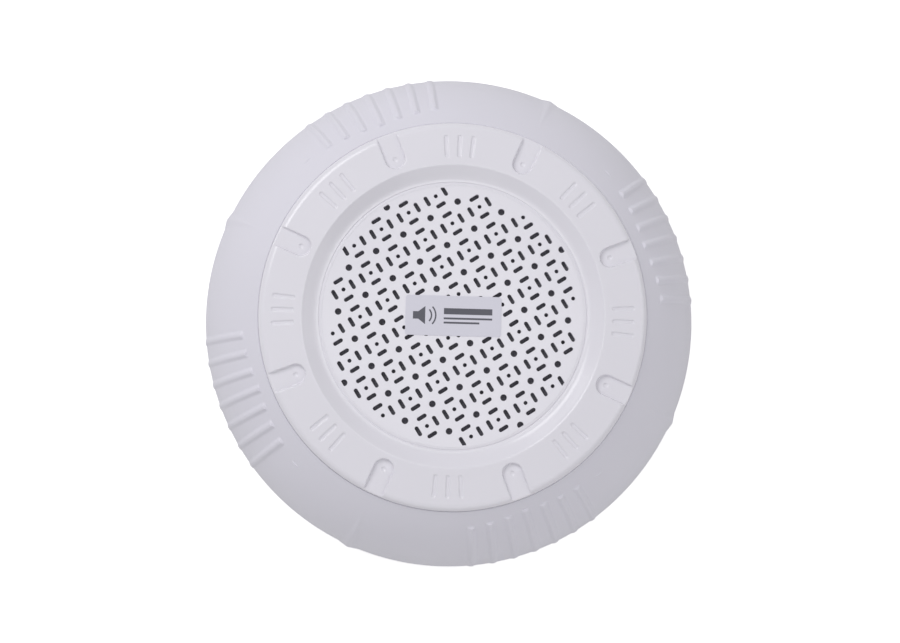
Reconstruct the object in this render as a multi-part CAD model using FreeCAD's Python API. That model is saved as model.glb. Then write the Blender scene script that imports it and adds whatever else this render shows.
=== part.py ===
"""Round twist-on voice-alarm loudspeaker: base, domed housing, perforated front and driver.

Millimetres. The origin is the centre of the mounting face, +Z points out through the grille
and +Y is up when the unit hangs on a wall. Angles are in degrees, anticlockwise seen from
the front.
"""
import os
import FreeCAD, Part
from math import atan2, ceil, cos, degrees, hypot, pi, radians, sin, sqrt, tan

# ---- overall ---------------------------------------------------------------------------
overall_diameter = 200.0      # across the housing's rim
overall_height = 62.0         # mounting face to the crest of the front ring
pattern_phase = 20.5          # angle of the first screw recess and of the first rib group
radial = overall_diameter / 200.0     # share for radii that follow the housing's diameter
axial = overall_height / 62.0         # share for heights that follow its depth

# ---- housing (outer dome) --------------------------------------------------------------
dome_wall = 2.5
dome_bulge = 5.9              # how far the dome stands outside a straight cone
rim_height = 8.0              # where the dome reaches its full diameter
skirt_gap = 1.5               # between the housing's rim and the wall behind it
skirt_draft = 0.4             # the rim's lower edge is this much smaller in radius
seam_radius = 73.5 * radial   # where the dome meets the front panel
seam_drop = 4.6               # the seam lies this far below the front ring's crest
seam_gap = 0.3                # shadow gap round the front panel
ledge_depth = 7.0             # from the front ring's crest to the ledge the panel sits on
ledge_inner_radius = 60.0 * radial
rib_groups = 4
ribs_per_group = 7
rib_pitch_angle = 5.15
rib_width = 2.2
rib_inner_radius = 77.4 * radial  # inner end of a group's middle rib
rib_end_step = 0.75           # each rib further out in the group starts this much lower
rib_crest = 1.15              # how proud a rib stands at its inner end
rib_rim_crest = 0.35          # and at the rim
pointer_inner_radius = 79.8 * radial
pointer_half_angle = 2.75
pointer_crest = 1.0
root_depth = 1.0              # ribs and pointers start this far inside the wall
post_diameter = 8.0
post_offset = 4.5             # screw posts' centres outside the seam

# ---- front panel -----------------------------------------------------------------------
panel_wall = 2.2
grille_recess = 3.5           # grille disc below the ring's crest
grille_disc_radius = 51.9 * radial
ring_inner_radius = 56.7 * radial
ring_fall = 1.2               # the ring slopes down this much towards its outer edge
band_width = 3.2              # rounded outer edge of the ring
bead_radius = 50.4 * radial
bead_width = 0.6
bead_depth = 0.25
field_radius = 48.7 * radial  # perforations are clipped to this circle
lattice_angle = 31.55
lattice_pitch = 12.0
large_hole_diameter = 2.5
small_hole_diameter = 1.5
slot_length = 4.0
slot_width = 1.5
slot_offset = 3.8             # from a small hole to the middle of each slot round it
screw_recess_count = 8
screw_recess_width = 7.5
screw_recess_radius = 62.8 * radial  # centre of a recess's round end
screw_recess_depth = 2.0      # below the ring's crest
recess_dimple_diameter = 1.5
recess_dimple_depth = 0.4
panel_boss_diameter = 7.0
pilot_tip_clearance = 0.2     # a pilot hole goes this much deeper than its screw
bar_count = 3                 # engraved bars between two screw recesses
bar_length = 8.8
bar_width = 1.7
bar_spacing = 4.9
bar_radius = 63.8 * radial
bar_depth = 0.45
label_length = 36.0
label_height = 15.0
label_thickness = 0.2
label_turn = -1.5

# ---- loudspeaker driver ----------------------------------------------------------------
cloth_thickness = 0.5
cloth_radius = 49.2 * radial
gasket_thickness = 1.6
gasket_inner_radius = 45.6 * radial
basket_sheet = 1.2
flange_radius = 56.3 * radial
flange_inner_radius = 45.5 * radial
surround_step = 1.6           # the surround's seat below the flange
surround_seat_radius = 42.6 * radial  # inner edge of that seat
surround_rise = 2.0
surround_wall = 0.45
cone_radius = 37.6 * radial
cone_wall = 0.6
spider_lift = 2.5 * axial     # spider above the basket's floor
spider_wall = 0.4
spider_seat_radius = 26.0
spider_seat_width = 3.2
spider_waves = 5
spider_wave_height = 0.5
cone_lip_width = 2.2          # flat edge of the cone under the surround
cone_sag = 0.42               # the cone's middle stands at this share of its depth
surround_overlap = 1.6        # surround glued on the cone's edge
neck_lift = 2.5 * axial       # cone's neck above the spider
basket_floor_radius = 25.0
basket_window_width = 26.0
dust_cap_radius = 15.5
dust_cap_rise = 4.0
dust_cap_wall = 0.35
glue_line = 0.15
dust_cap_crown = 0.5          # radius of the flat at its middle
pole_proud = 0.3              # pole above the top plate
pole_vent_radius = 3.0
pole_radius = 11.8
former_gap = 0.6              # pole to coil former
former_wall = 0.4
former_reach = 6.0            # former below the top plate's front face
winding_wall = 0.6
winding_length = 6.0
coil_gap = 0.5                # winding to top plate
top_plate_thickness = 4.0 * axial
top_plate_radius = 27.0
magnet_thickness = 8.0 * axial
magnet_radius = 30.0
magnet_bore_radius = 16.0
yoke_thickness = 4.0 * axial
yoke_radius = 28.0
magnet_clearance = 2.0        # yoke to rear cover
driver_screw_radius = 52.8 * radial
driver_boss_diameter = 6.0
tag_board_width = 16.0
tag_board_height = 9.0
tag_board_thickness = 1.6
tag_foot = 5.0                # board's foot under the basket's flange
tag_hole_radius = 0.7
tag_width = 2.8
tag_thickness = 0.5
tag_length = 7.0
tag_spacing = 9.0

# ---- rear cover, base and bayonet ------------------------------------------------------
base_thickness = 3.0
wiring_space = 11.0 * axial   # between base plate and rear cover
rear_cover_thickness = 2.5
rear_cover_gap = 1.2          # rear cover's edge to the dome's inner wall
base_edge_gap = 3.0           # base plate's edge to the dome's inner wall
bayonet_count = 4
bayonet_angle = 14.0          # arc of each hook and each foot
bayonet_ring_wall = 2.5
bayonet_ring_inset = 1.5      # ring inside the base plate's edge
hook_reach = 4.0
hook_thickness = 2.5
hook_height = 6.5             # hook's underside above the base plate
foot_thickness = 2.7
leg_thickness = 2.5
bayonet_play = 0.3            # foot under hook, cover over ring
bayonet_side_play = 0.8
stop_arc = 1.6                # wall at the end of each hook that stops the twist
stop_offset = 1.5             # its middle beyond the hook's end, in degrees
stiffener_height = 1.5        # ribs and low pads on the rear cover
stiffener_gap = 5.0           # from the yoke to the rear cover's round rib
base_rib_count = 8
base_rib_width = 2.0
base_rib_rise = 1.6
block_to_rib = 0.4            # least room between terminal block and base ribs
base_screw_pcd = 120.0 * radial
base_screw_hole_diameter = 4.5
base_screw_angle = 45.0
base_screw_pad_diameter = 11.0
entry_diameter = 16.0         # cable entry through the base
grommet_bore_diameter = 8.0
grommet_lip = 2.0
grommet_lip_thickness = 1.4
grommet_recess = 0.6          # grommet's back lip sits in a counterbore, clear of the wall
clearance_round_grommet = 2.0 # from the grommet's lip to the round rib on the base
wire_slot_length = 14.0
wire_slot_width = 5.0
wire_slot_y = 47.5 * radial

# ---- electrical parts ------------------------------------------------------------------
bobbin_lead_gap = 0.7         # bobbin's flange to the leads that rise beside it
core_length = 30.0
core_depth = 12.0
core_height = 22.0
core_leg = 5.0
bobbin_wall = 1.0
bobbin_gap = 0.2
winding_depth = 20.0
strap_sheet = 1.0
strap_foot = 7.0
strap_gap = 0.1
board_length = 40.0
board_width = 24.0
board_thickness = 1.6
standoff_height = 4.0
standoff_diameter = 6.0
capacitor_diameter = 10.0
capacitor_length = 20.0
fuse_diameter = 4.0
fuse_length = 11.0
fuse_offset = 8.0             # fuse and capacitor from the board's middle
capacitor_offset = 4.0
groove_width = 1.0
groove_inset = 2.5
block_poles = 4
block_pole_pitch = 8.0
block_end = 1.5
block_depth = 16.0
block_height = 8.5
block_hole_diameter = 4.6
block_screw_diameter = 3.2
ear_length = 6.5
ear_width = 7.0
ear_thickness = 2.5
ear_offset = 3.0              # ear's middle and its screw beyond the block's end
sleeve_wall = 0.8
wire_drop = 3.6               # wire holes below the rear cover
lead_diameter = 1.4

# ---- fasteners and fits ----------------------------------------------------------------
screw_diameter = 2.9
screw_head_diameter = 5.6
screw_head_height = 1.9
screw_cross_width = 0.8
screw_cross_length = 3.2
screw_cross_depth = 1.0
screw_hole_clearance = 0.25   # radial, where a screw passes through
pilot_clearance = 0.05        # radial, where a screw bites
panel_screw_bite = 2.8        # depth of each pilot hole past the joint
driver_screw_bite = 3.1
cover_screw_bite = 9.0
small_screw_bite = 3.0

# ---- worked out ------------------------------------------------------------------------
rim_radius = overall_diameter / 2
up = FreeCAD.Vector(0, 0, 1)
origin = FreeCAD.Vector(0, 0, 0)

base_top = base_thickness
cover_bottom = base_top + wiring_space
cover_top = cover_bottom + rear_cover_thickness
seam_z = overall_height - seam_drop
ledge_top = overall_height - ledge_depth
ledge_bottom = ledge_top - dome_wall
panel_radius = seam_radius - seam_gap
disc_top = overall_height - grille_recess
disc_bottom = disc_top - panel_wall
flange_top = disc_bottom - cloth_thickness - gasket_thickness
flange_bottom = flange_top - basket_sheet
surround_seat = flange_top - surround_step
yoke_bottom = cover_top + magnet_clearance
magnet_bottom = yoke_bottom + yoke_thickness
top_plate_bottom = magnet_bottom + magnet_thickness
top_plate_top = top_plate_bottom + top_plate_thickness
basket_floor = top_plate_top + basket_sheet
spider_seat = basket_floor + spider_lift
spider_top = spider_seat + spider_wall
neck_z = spider_top + neck_lift
former_inner_radius = pole_radius + former_gap
former_outer_radius = former_inner_radius + former_wall
winding_outer_radius = former_outer_radius + winding_wall
plate_bore_radius = winding_outer_radius + coil_gap
screw_radius = screw_diameter / 2
passing_radius = screw_radius + screw_hole_clearance
pilot_radius = screw_radius + pilot_clearance
recess_angles = [pattern_phase + 360 / screw_recess_count * i for i in range(screw_recess_count)]
between_angles = [a + 180 / screw_recess_count for a in recess_angles]
post_angles = between_angles[::2]
post_radius = seam_radius + post_offset
bayonet_angles = [360 / bayonet_count * i for i in range(bayonet_count)]


def dome_centre():
    """Centre and radius of the arc from the seam to the rim."""
    chord_r = rim_radius - seam_radius
    chord_z = rim_height - seam_z
    half = hypot(chord_r, chord_z) / 2
    radius = (half ** 2 + dome_bulge ** 2) / (2 * dome_bulge)
    inset = radius - dome_bulge
    mid_r = (rim_radius + seam_radius) / 2
    mid_z = (rim_height + seam_z) / 2
    return mid_r + inset * chord_z / (2 * half), mid_z - inset * chord_r / (2 * half), radius


dome_r0, dome_z0, dome_arc_radius = dome_centre()


def dome_z(radius, offset=0.0):
    """Height of the dome's outer face at a radius, or of a face offset from it."""
    return dome_z0 + sqrt((dome_arc_radius + offset) ** 2 - (radius - dome_r0) ** 2)


def dome_r(height, offset=0.0):
    """Radius of the dome's outer face at a height, or of a face offset from it."""
    return dome_r0 + sqrt((dome_arc_radius + offset) ** 2 - (height - dome_z0) ** 2)


inner_rim_radius = rim_radius - dome_wall
cover_radius = min(inner_rim_radius, dome_r(cover_top, -dome_wall)) - rear_cover_gap
base_radius = inner_rim_radius - base_edge_gap
ring_outer = base_radius - bayonet_ring_inset
ring_inner = ring_outer - bayonet_ring_wall
hook_inner = ring_inner - hook_reach
hook_bottom = base_top + hook_height
foot_top = hook_bottom - bayonet_play
foot_outer = ring_inner - bayonet_side_play
leg_outer = hook_inner - bayonet_side_play
tag_board_face = flange_inner_radius + basket_sheet + 0.1
tag_lead_y = tag_board_face + tag_board_thickness + tag_thickness + lead_diameter / 2
tag_board_low = surround_seat - tag_board_height
tag_low = tag_board_low - tag_length + 4
parts_radius = (tag_lead_y + lead_diameter / 2 + bobbin_lead_gap
                + bobbin_wall + winding_depth / 2)
block_length = block_poles * block_pole_pitch + 2 * block_end
base_rib_height = min(base_rib_rise, wiring_space - block_height - block_to_rib)


# ---- small builders --------------------------------------------------------------------
def vec(radius, height):
    return FreeCAD.Vector(radius, 0, height)


def cylinder(radius, bottom, top, x=0.0, y=0.0):
    return Part.makeCylinder(radius, top - bottom, FreeCAD.Vector(x, y, bottom))


def ring(inner, outer, bottom, top):
    return cylinder(outer, bottom, top).cut(cylinder(inner, bottom - 1, top + 1))


def block(length, width, bottom, top, x=0.0, y=0.0):
    corner = FreeCAD.Vector(x - length / 2, y - width / 2, bottom)
    return Part.makeBox(length, width, top - bottom, corner)


def revolved(points, angle=360.0):
    """Solid from a closed outline of (radius, height) points, turned about the Z axis."""
    outline = Part.makePolygon([vec(r, z) for r, z in points + points[:1]])
    return Part.Face(outline).revolve(origin, up, angle)


def revolved_edges(edges, angle=360.0):
    return Part.Face(Part.Wire(edges)).revolve(origin, up, angle)


def line(a, b):
    return Part.makeLine(vec(*a), vec(*b))


def arc(a, middle, b):
    return Part.Arc(vec(*a), vec(*middle), vec(*b)).toShape()


def turned(shape, angle):
    copy = shape.copy()
    copy.rotate(origin, up, angle)
    return copy


def moved(shape, x, y, z):
    copy = shape.copy()
    copy.translate(FreeCAD.Vector(x, y, z))
    return copy


def sector(inner, outer, bottom, top, centre, width):
    """Part of a ring, width degrees wide, about the angle centre."""
    outline = [(inner, bottom), (outer, bottom), (outer, top), (inner, top)]
    return turned(revolved(outline, width), centre - width / 2)


def at_angle(radius, angle):
    return radius * cos(radians(angle)), radius * sin(radians(angle))


def stadium(length, width, bottom, top):
    """Slot shape with round ends, centred on the origin, long side along X."""
    straight = length - width
    body = block(straight, width, bottom, top)
    ends = [cylinder(width / 2, bottom, top, x) for x in (-straight / 2, straight / 2)]
    return body.fuse(ends).removeSplitter()


def screw(head_face, tip, x, y, diameter=screw_diameter, head=screw_head_diameter):
    """Pan-head screw driven upwards: its head lies below head_face and its tip at tip."""
    head_bottom = head_face - screw_head_height
    shank = cylinder(diameter / 2, head_face - 0.5, tip, x, y)
    cap = cylinder(head / 2, head_bottom, head_face, x, y)
    cap = cap.makeFillet(screw_head_height * 0.45, [cap.Edges[2]])
    cuts = []
    for angle in (0, 90):
        cut = turned(block(screw_cross_length, screw_cross_width, head_bottom - 1,
                           head_bottom + screw_cross_depth), angle)
        cuts.append(moved(cut, x, y, 0))
    return cap.fuse(shank).cut(cuts)


def screws(head_face, bite_from, bite, places, **sizes):
    return Part.makeCompound([screw(head_face, bite_from + bite, x, y, **sizes) for x, y in places])


def lead(points):
    """Insulated wire: straight runs joined by tangent arcs as large as the runs allow."""
    spots = [FreeCAD.Vector(*p) for p in points]
    edges = []
    start = spots[0]
    for before, corner, after in zip(spots, spots[1:], spots[2:]):
        back = (before - corner).normalize()
        ahead = (after - corner).normalize()
        turn = pi - back.getAngle(ahead)
        reach = 0.45 * min(before.distanceToPoint(corner), corner.distanceToPoint(after))
        radius = reach / tan(turn / 2)
        entry = corner + back * reach
        leave = corner + ahead * reach
        inward = (back + ahead).normalize()
        middle = corner + inward * (radius / cos(turn / 2) - radius)
        edges.append(Part.makeLine(start, entry))
        edges.append(Part.Arc(entry, middle, leave).toShape())
        start = leave
    edges.append(Part.makeLine(start, spots[-1]))
    path = Part.Wire(edges)
    section = Part.Wire(Part.makeCircle(lead_diameter / 2, spots[0], spots[1] - spots[0]))
    return path.makePipeShell([section], True, True)


# ---- housing ---------------------------------------------------------------------------
def dome_shell():
    """Revolved wall: outer arc, skirt, inner arc and the ledge under the front panel."""
    lower = skirt_gap
    inner_radius = dome_arc_radius - dome_wall
    inner_top_r = dome_r(ledge_bottom, -dome_wall)
    inner_rim_r = dome_r(rim_height, -dome_wall)
    mid_z = (seam_z + rim_height) / 2
    mid_in_z = (ledge_bottom + rim_height) / 2
    mid_in_r = dome_r0 + sqrt(inner_radius ** 2 - (mid_in_z - dome_z0) ** 2)
    edges = [
        arc((seam_radius, seam_z), (dome_r(mid_z), mid_z), (rim_radius, rim_height)),
        line((rim_radius, rim_height), (rim_radius - skirt_draft, lower)),
        line((rim_radius - skirt_draft, lower), (inner_rim_r - skirt_draft, lower)),
        line((inner_rim_r - skirt_draft, lower), (inner_rim_r, rim_height)),
        arc((inner_rim_r, rim_height), (mid_in_r, mid_in_z), (inner_top_r, ledge_bottom)),
        line((inner_top_r, ledge_bottom), (ledge_inner_radius, ledge_bottom)),
        line((ledge_inner_radius, ledge_bottom), (ledge_inner_radius, ledge_top)),
        line((ledge_inner_radius, ledge_top), (seam_radius, ledge_top)),
        line((seam_radius, ledge_top), (seam_radius, seam_z)),
    ]
    return revolved_edges(edges)


def grip_rib(inner_end, angle):
    """Raised rib down the dome: proudest at its inner end and fading towards the rim."""
    sunk = root_depth
    low_r = rim_radius - sunk
    end_z = dome_z(inner_end)
    slope = atan2(end_z - dome_z0, inner_end - dome_r0)
    top_r = inner_end + rib_crest * cos(slope)
    top_z = end_z + rib_crest * sin(slope)
    mid_z = (top_z + rim_height) / 2
    mid_crest = (rib_crest + rib_rim_crest) / 2
    foot_r = inner_end - sunk * cos(slope)
    foot_z = end_z - sunk * sin(slope)
    mid_foot_z = (foot_z + rim_height) / 2
    lower = skirt_gap
    low_edge = rim_radius - skirt_draft + rib_rim_crest
    edges = [
        line((foot_r, foot_z), (top_r, top_z)),
        arc((top_r, top_z), (dome_r(mid_z, mid_crest), mid_z), (rim_radius + rib_rim_crest, rim_height)),
        line((rim_radius + rib_rim_crest, rim_height), (low_edge, lower)),
        line((low_edge, lower), (low_r - skirt_draft, lower)),
        line((low_r - skirt_draft, lower), (dome_r(rim_height, -sunk), rim_height)),
        arc((dome_r(rim_height, -sunk), rim_height), (dome_r(mid_foot_z, -sunk), mid_foot_z),
            (foot_r, foot_z)),
    ]
    face = Part.Face(Part.Wire(edges))
    rib = moved(face, 0, -rib_width / 2, 0).extrude(FreeCAD.Vector(0, rib_width, 0))
    return turned(rib, angle)


def pointer(angle):
    """Pointed marker on the dome: a gable that rises out of it and widens towards the rim."""
    sunk = 0.8 * root_depth
    steps = 8
    first = atan2(dome_z(pointer_inner_radius) - dome_z0, pointer_inner_radius - dome_r0)
    last = atan2(rim_height - dome_z0, rim_radius - dome_r0)
    first += (first - last) * 0.12
    width = rim_radius * tan(radians(pointer_half_angle)) * (pointer_crest + sunk) / pointer_crest
    sections = []
    for i in range(steps + 1):
        share = max(i / steps, 0.05)
        slope = first + (last - first) * i / steps
        crest = (pointer_crest + 0.15) * share - 0.15
        sides = [(-sunk, -width * share), (-sunk, width * share), (crest, 0)]
        corners = []
        for offset, side in sides:
            reach = dome_arc_radius + offset
            corners.append(FreeCAD.Vector(dome_r0 + reach * cos(slope), side,
                                          dome_z0 + reach * sin(slope)))
        sections.append(Part.makePolygon(corners + corners[:1]))
    foot = rim_radius - skirt_draft
    corners = [FreeCAD.Vector(foot - sunk, -width, skirt_gap),
               FreeCAD.Vector(foot - sunk, width, skirt_gap),
               FreeCAD.Vector(foot + pointer_crest, 0, skirt_gap)]
    sections.append(Part.makePolygon(corners + corners[:1]))
    return turned(Part.makeLoft(sections, True, True), angle)


def outer_dome():
    shell = dome_shell()
    extras = []
    middle = (ribs_per_group - 1) / 2
    for group in range(rib_groups):
        centre = pattern_phase + 360 / rib_groups * group
        for i in range(ribs_per_group):
            away = i - middle
            inner_end = rib_inner_radius + rib_end_step * abs(away)
            extras.append(grip_rib(inner_end, centre + rib_pitch_angle * away))
        extras.append(pointer(centre + 180 / rib_groups))
    halfway = (cover_top + ledge_bottom) / 2
    envelope = revolved([(0, cover_top), (dome_r(cover_top, -1), cover_top),
                         (dome_r(halfway, -1), halfway),
                         (dome_r(ledge_bottom + 1, -1), ledge_bottom + 1), (0, ledge_bottom + 1)])
    for angle in post_angles:
        x, y = at_angle(post_radius, angle)
        extras.append(cylinder(post_diameter / 2, cover_top, ledge_top, x, y).common(envelope))
    shell = shell.fuse(extras)
    cuts = []
    for angle in post_angles:
        x, y = at_angle(post_radius, angle)
        bite = cover_top + cover_screw_bite + 1
        cuts.append(cylinder(pilot_radius, cover_top - 1, bite, x, y))
    for angle in recess_angles:
        x, y = at_angle(screw_recess_radius, angle)
        cuts.append(cylinder(passing_radius, ledge_bottom - 1, ledge_top + 1, x, y))
    return shell.cut(cuts)


# ---- front panel -----------------------------------------------------------------------
def perforations():
    """Lattice of round holes, each cell with a small hole framed by four slots."""
    low = disc_bottom - 1
    high = disc_top + 1
    large = cylinder(large_hole_diameter / 2, low, high)
    small = cylinder(small_hole_diameter / 2, low, high)
    slot = stadium(slot_length, slot_width, low, high)
    clip = cylinder(field_radius, low, high)
    reach = int(ceil(field_radius / lattice_pitch)) + 1
    wanted = []
    for i in range(-reach, reach + 1):
        for j in range(-reach, reach + 1):
            x = i * lattice_pitch
            y = j * lattice_pitch
            wanted.append((large, x, y, 0, field_radius))
            x += lattice_pitch / 2
            y += lattice_pitch / 2
            wanted.append((small, x, y, 0, field_radius))
            for side in (-slot_offset, slot_offset):
                wanted.append((slot, x, y + side, 0, field_radius - slot_length / 2))
                wanted.append((slot, x + side, y, 90, field_radius - slot_width / 2))
    holes = []
    for shape, x, y, angle, limit in wanted:
        if hypot(x, y) > limit:
            continue
        hole = turned(moved(turned(shape, angle), x, y, 0), lattice_angle)
        if hypot(x, y) > field_radius - slot_length / 2:
            hole = hole.common(clip)
        holes.append(hole)
    return holes


def front_panel():
    edge = panel_radius
    band = edge - band_width
    ring_edge = overall_height - ring_fall
    band_low = ring_edge - band_width
    bend = sqrt(0.5)
    middle = (band + band_width * bend, band_low + band_width * bend)
    inner = edge - panel_wall
    under_ring = overall_height - panel_wall
    edges = [
        line((0, disc_top), (grille_disc_radius, disc_top)),
        line((grille_disc_radius, disc_top), (ring_inner_radius, overall_height)),
        line((ring_inner_radius, overall_height), (band, ring_edge)),
        arc((band, ring_edge), middle, (edge, band_low)),
        line((edge, band_low), (edge, ledge_top)),
        line((edge, ledge_top), (inner, ledge_top)),
        line((inner, ledge_top), (inner, band_low - 0.2)),
        line((inner, band_low - 0.2), (band - 0.6, ring_edge - panel_wall)),
        line((band - 0.6, ring_edge - panel_wall), (ring_inner_radius + 1.2, under_ring)),
        line((ring_inner_radius + 1.2, under_ring), (grille_disc_radius + 1.2, disc_bottom)),
        line((grille_disc_radius + 1.2, disc_bottom), (0, disc_bottom)),
        line((0, disc_bottom), (0, disc_top)),
    ]
    panel = revolved_edges(edges)
    floor = overall_height - screw_recess_depth
    pads = []
    for angle in recess_angles:
        outer_reach = inner + 0.5 - screw_recess_radius
        pad = block(outer_reach, screw_recess_width + 2 * panel_wall, floor - panel_wall, floor,
                    screw_recess_radius + outer_reach / 2)
        nose = cylinder(screw_recess_width / 2 + panel_wall, floor - panel_wall, floor,
                        screw_recess_radius)
        boss = cylinder(panel_boss_diameter / 2, ledge_top, floor, screw_recess_radius)
        pads += [turned(shape, angle) for shape in (pad, nose, boss)]
    for angle in post_angles:
        x, y = at_angle(driver_screw_radius, angle)
        pads.append(cylinder(driver_boss_diameter / 2, flange_top, disc_bottom + 0.5, x, y))
    panel = panel.fuse(pads)
    cuts = perforations()
    cuts.append(ring(bead_radius - bead_width / 2, bead_radius + bead_width / 2,
                     disc_top - bead_depth, disc_top + 1))
    for angle in recess_angles:
        outward = edge + 2 - screw_recess_radius
        pocket = block(outward, screw_recess_width, floor, overall_height + 1,
                       screw_recess_radius + outward / 2)
        end = cylinder(screw_recess_width / 2, floor, overall_height + 1, screw_recess_radius)
        dimple = cylinder(recess_dimple_diameter / 2, floor - recess_dimple_depth, floor + 1,
                          screw_recess_radius)
        cuts.append(turned(pocket.fuse([end, dimple]), angle))
        pilot = cylinder(pilot_radius, ledge_top - 1, ledge_top + panel_screw_bite,
                         screw_recess_radius)
        cuts.append(turned(pilot, angle))
    for angle in post_angles:
        x, y = at_angle(driver_screw_radius, angle)
        cuts.append(cylinder(pilot_radius, flange_top - 1, flange_top + driver_screw_bite, x, y))
    slope = degrees(atan2(ring_fall, band - ring_inner_radius))
    surface = overall_height - ring_fall * (bar_radius - ring_inner_radius) / (band - ring_inner_radius)
    for centre in between_angles:
        for i in range(bar_count):
            away = degrees(bar_spacing * (i - (bar_count - 1) / 2) / bar_radius)
            bar = stadium(bar_length, bar_width, -bar_depth, 3.0)
            bar.rotate(origin, FreeCAD.Vector(0, 1, 0), slope)
            cuts.append(turned(moved(bar, bar_radius, 0, surface), centre + away))
    return panel.cut(cuts)


def front_label():
    plate = block(label_length, label_height, disc_top, disc_top + label_thickness)
    corners = [e for e in plate.Edges if abs(e.Vertexes[0].Z - e.Vertexes[1].Z) > label_thickness / 2]
    return turned(plate.makeFillet(1.0, corners), label_turn)


# ---- loudspeaker driver ----------------------------------------------------------------
def grille_cloth():
    return cylinder(cloth_radius, disc_bottom - cloth_thickness, disc_bottom)


def speaker_gasket():
    return ring(gasket_inner_radius, cloth_radius, flange_top, flange_top + gasket_thickness)


def driver_basket():
    """Pressed steel frame with a flange, two seats and four windows between its arms."""
    s = basket_sheet
    seat_out = spider_seat_radius + spider_seat_width
    low_seat = surround_seat - s
    points = [
        (flange_radius, flange_top), (flange_radius, flange_bottom),
        (flange_inner_radius + s, flange_bottom), (flange_inner_radius + s, low_seat),
        (surround_seat_radius, low_seat),
        (seat_out + s, spider_seat - s), (spider_seat_radius + s, spider_seat - s),
        (basket_floor_radius + s, top_plate_top), (plate_bore_radius + 1.5, top_plate_top),
        (plate_bore_radius + 1.5, basket_floor), (basket_floor_radius, basket_floor),
        (spider_seat_radius, spider_seat), (seat_out, spider_seat),
        (surround_seat_radius - 0.4, surround_seat),
        (flange_inner_radius, surround_seat), (flange_inner_radius, flange_top),
    ]
    basket = revolved(points)
    cuts = []
    for angle in post_angles:
        window = block(surround_seat_radius - seat_out - 5, basket_window_width, spider_seat - s,
                       surround_seat + 1, (surround_seat_radius + seat_out) / 2)
        cuts.append(turned(window, angle))
        x, y = at_angle(driver_screw_radius, angle)
        cuts.append(cylinder(passing_radius, flange_bottom - 1, flange_top + 1, x, y))
    return basket.cut(cuts)


def cone_surround():
    """Rubber half-roll between the basket's seat and the cone's edge."""
    w = surround_wall
    glued = cone_radius - surround_overlap
    roll_out = surround_seat_radius
    roll_in = cone_radius + 0.6
    rim = flange_inner_radius - 0.3
    mid = (roll_out + roll_in) / 2
    z = surround_seat
    edges = [
        line((glued, z), (roll_in, z)),
        arc((roll_in, z), (mid, z + surround_rise - w), (roll_out, z)),
        line((roll_out, z), (rim, z)),
        line((rim, z), (rim, z + w)),
        line((rim, z + w), (roll_out + w, z + w)),
        arc((roll_out + w, z + w), (mid, z + surround_rise), (roll_in - w, z + w)),
        line((roll_in - w, z + w), (glued, z + w)),
        line((glued, z + w), (glued, z)),
    ]
    return revolved_edges(edges)


def speaker_cone():
    """Paper cone: flat edge under the surround, gentle flare down to the neck."""
    top = surround_seat
    neck = former_outer_radius
    lip = cone_radius - cone_lip_width
    mid = (lip + neck) / 2
    sag = (top - neck_z) * cone_sag
    edges = [
        line((cone_radius, top), (cone_radius, top - cone_wall)),
        line((cone_radius, top - cone_wall), (lip, top - cone_wall)),
        arc((lip, top - cone_wall), (mid, neck_z + sag - cone_wall), (neck, neck_z - cone_wall)),
        line((neck, neck_z - cone_wall), (neck, neck_z)),
        arc((neck, neck_z), (mid, neck_z + sag), (lip, top)),
        line((lip, top), (cone_radius, top)),
    ]
    return revolved_edges(edges)


def dust_cap():
    """Domed cap glued over the neck of the cone."""
    neck = former_outer_radius
    rise = surround_seat - neck_z
    span = cone_radius - cone_lip_width - neck
    foot = neck_z + rise * cone_sag * (dust_cap_radius - neck) / (span / 2) + glue_line
    ball = (dust_cap_radius ** 2 + dust_cap_rise ** 2) / (2 * dust_cap_rise)
    centre = foot + dust_cap_rise - ball
    inner = ball - dust_cap_wall
    inner_edge = sqrt(inner ** 2 - (foot - centre) ** 2)
    half = atan2(dust_cap_radius, foot - centre) / 2
    flat = dust_cap_crown
    crown = centre + sqrt(ball ** 2 - flat ** 2)
    under = centre + sqrt(inner ** 2 - flat ** 2)
    edges = [
        line((0, crown), (flat, crown)),
        arc((flat, crown), (ball * sin(half), centre + ball * cos(half)), (dust_cap_radius, foot)),
        line((dust_cap_radius, foot), (inner_edge, foot)),
        arc((inner_edge, foot), (inner * sin(half), centre + inner * cos(half)), (flat, under)),
        line((flat, under), (0, under)),
        line((0, under), (0, crown)),
    ]
    return revolved_edges(edges)


def spider():
    """Corrugated cloth disc that centres the coil."""
    inner = former_outer_radius
    outer = spider_seat_radius + spider_seat_width - 0.2
    flat = spider_seat_radius + 0.4
    low = spider_seat
    below = [(inner, low)]
    step = (flat - inner) / (2 * spider_waves)
    for i in range(1, 2 * spider_waves):
        below.append((inner + step * i, low + spider_wave_height * (i % 2)))
    below += [(flat, low), (outer, low)]
    above = [(r, z + spider_wall) for r, z in reversed(below)]
    return revolved(below + above)


def voice_coil_former():
    return ring(former_inner_radius, former_outer_radius, top_plate_top - former_reach, neck_z)


def voice_coil_winding():
    middle = (top_plate_top + top_plate_bottom) / 2
    bottom = middle - winding_length / 2 + 1
    return ring(former_outer_radius, winding_outer_radius, bottom, bottom + winding_length)


def top_plate():
    return ring(plate_bore_radius, top_plate_radius, top_plate_bottom, top_plate_top)


def magnet_ring():
    return ring(magnet_bore_radius, magnet_radius, magnet_bottom, top_plate_bottom)


def pole_yoke():
    plate = cylinder(yoke_radius, yoke_bottom, magnet_bottom)
    pole = cylinder(pole_radius, magnet_bottom, top_plate_top + pole_proud)
    vent = cylinder(pole_vent_radius, yoke_bottom - 1, top_plate_top + 1)
    return plate.fuse(pole).removeSplitter().cut(vent)


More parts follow.
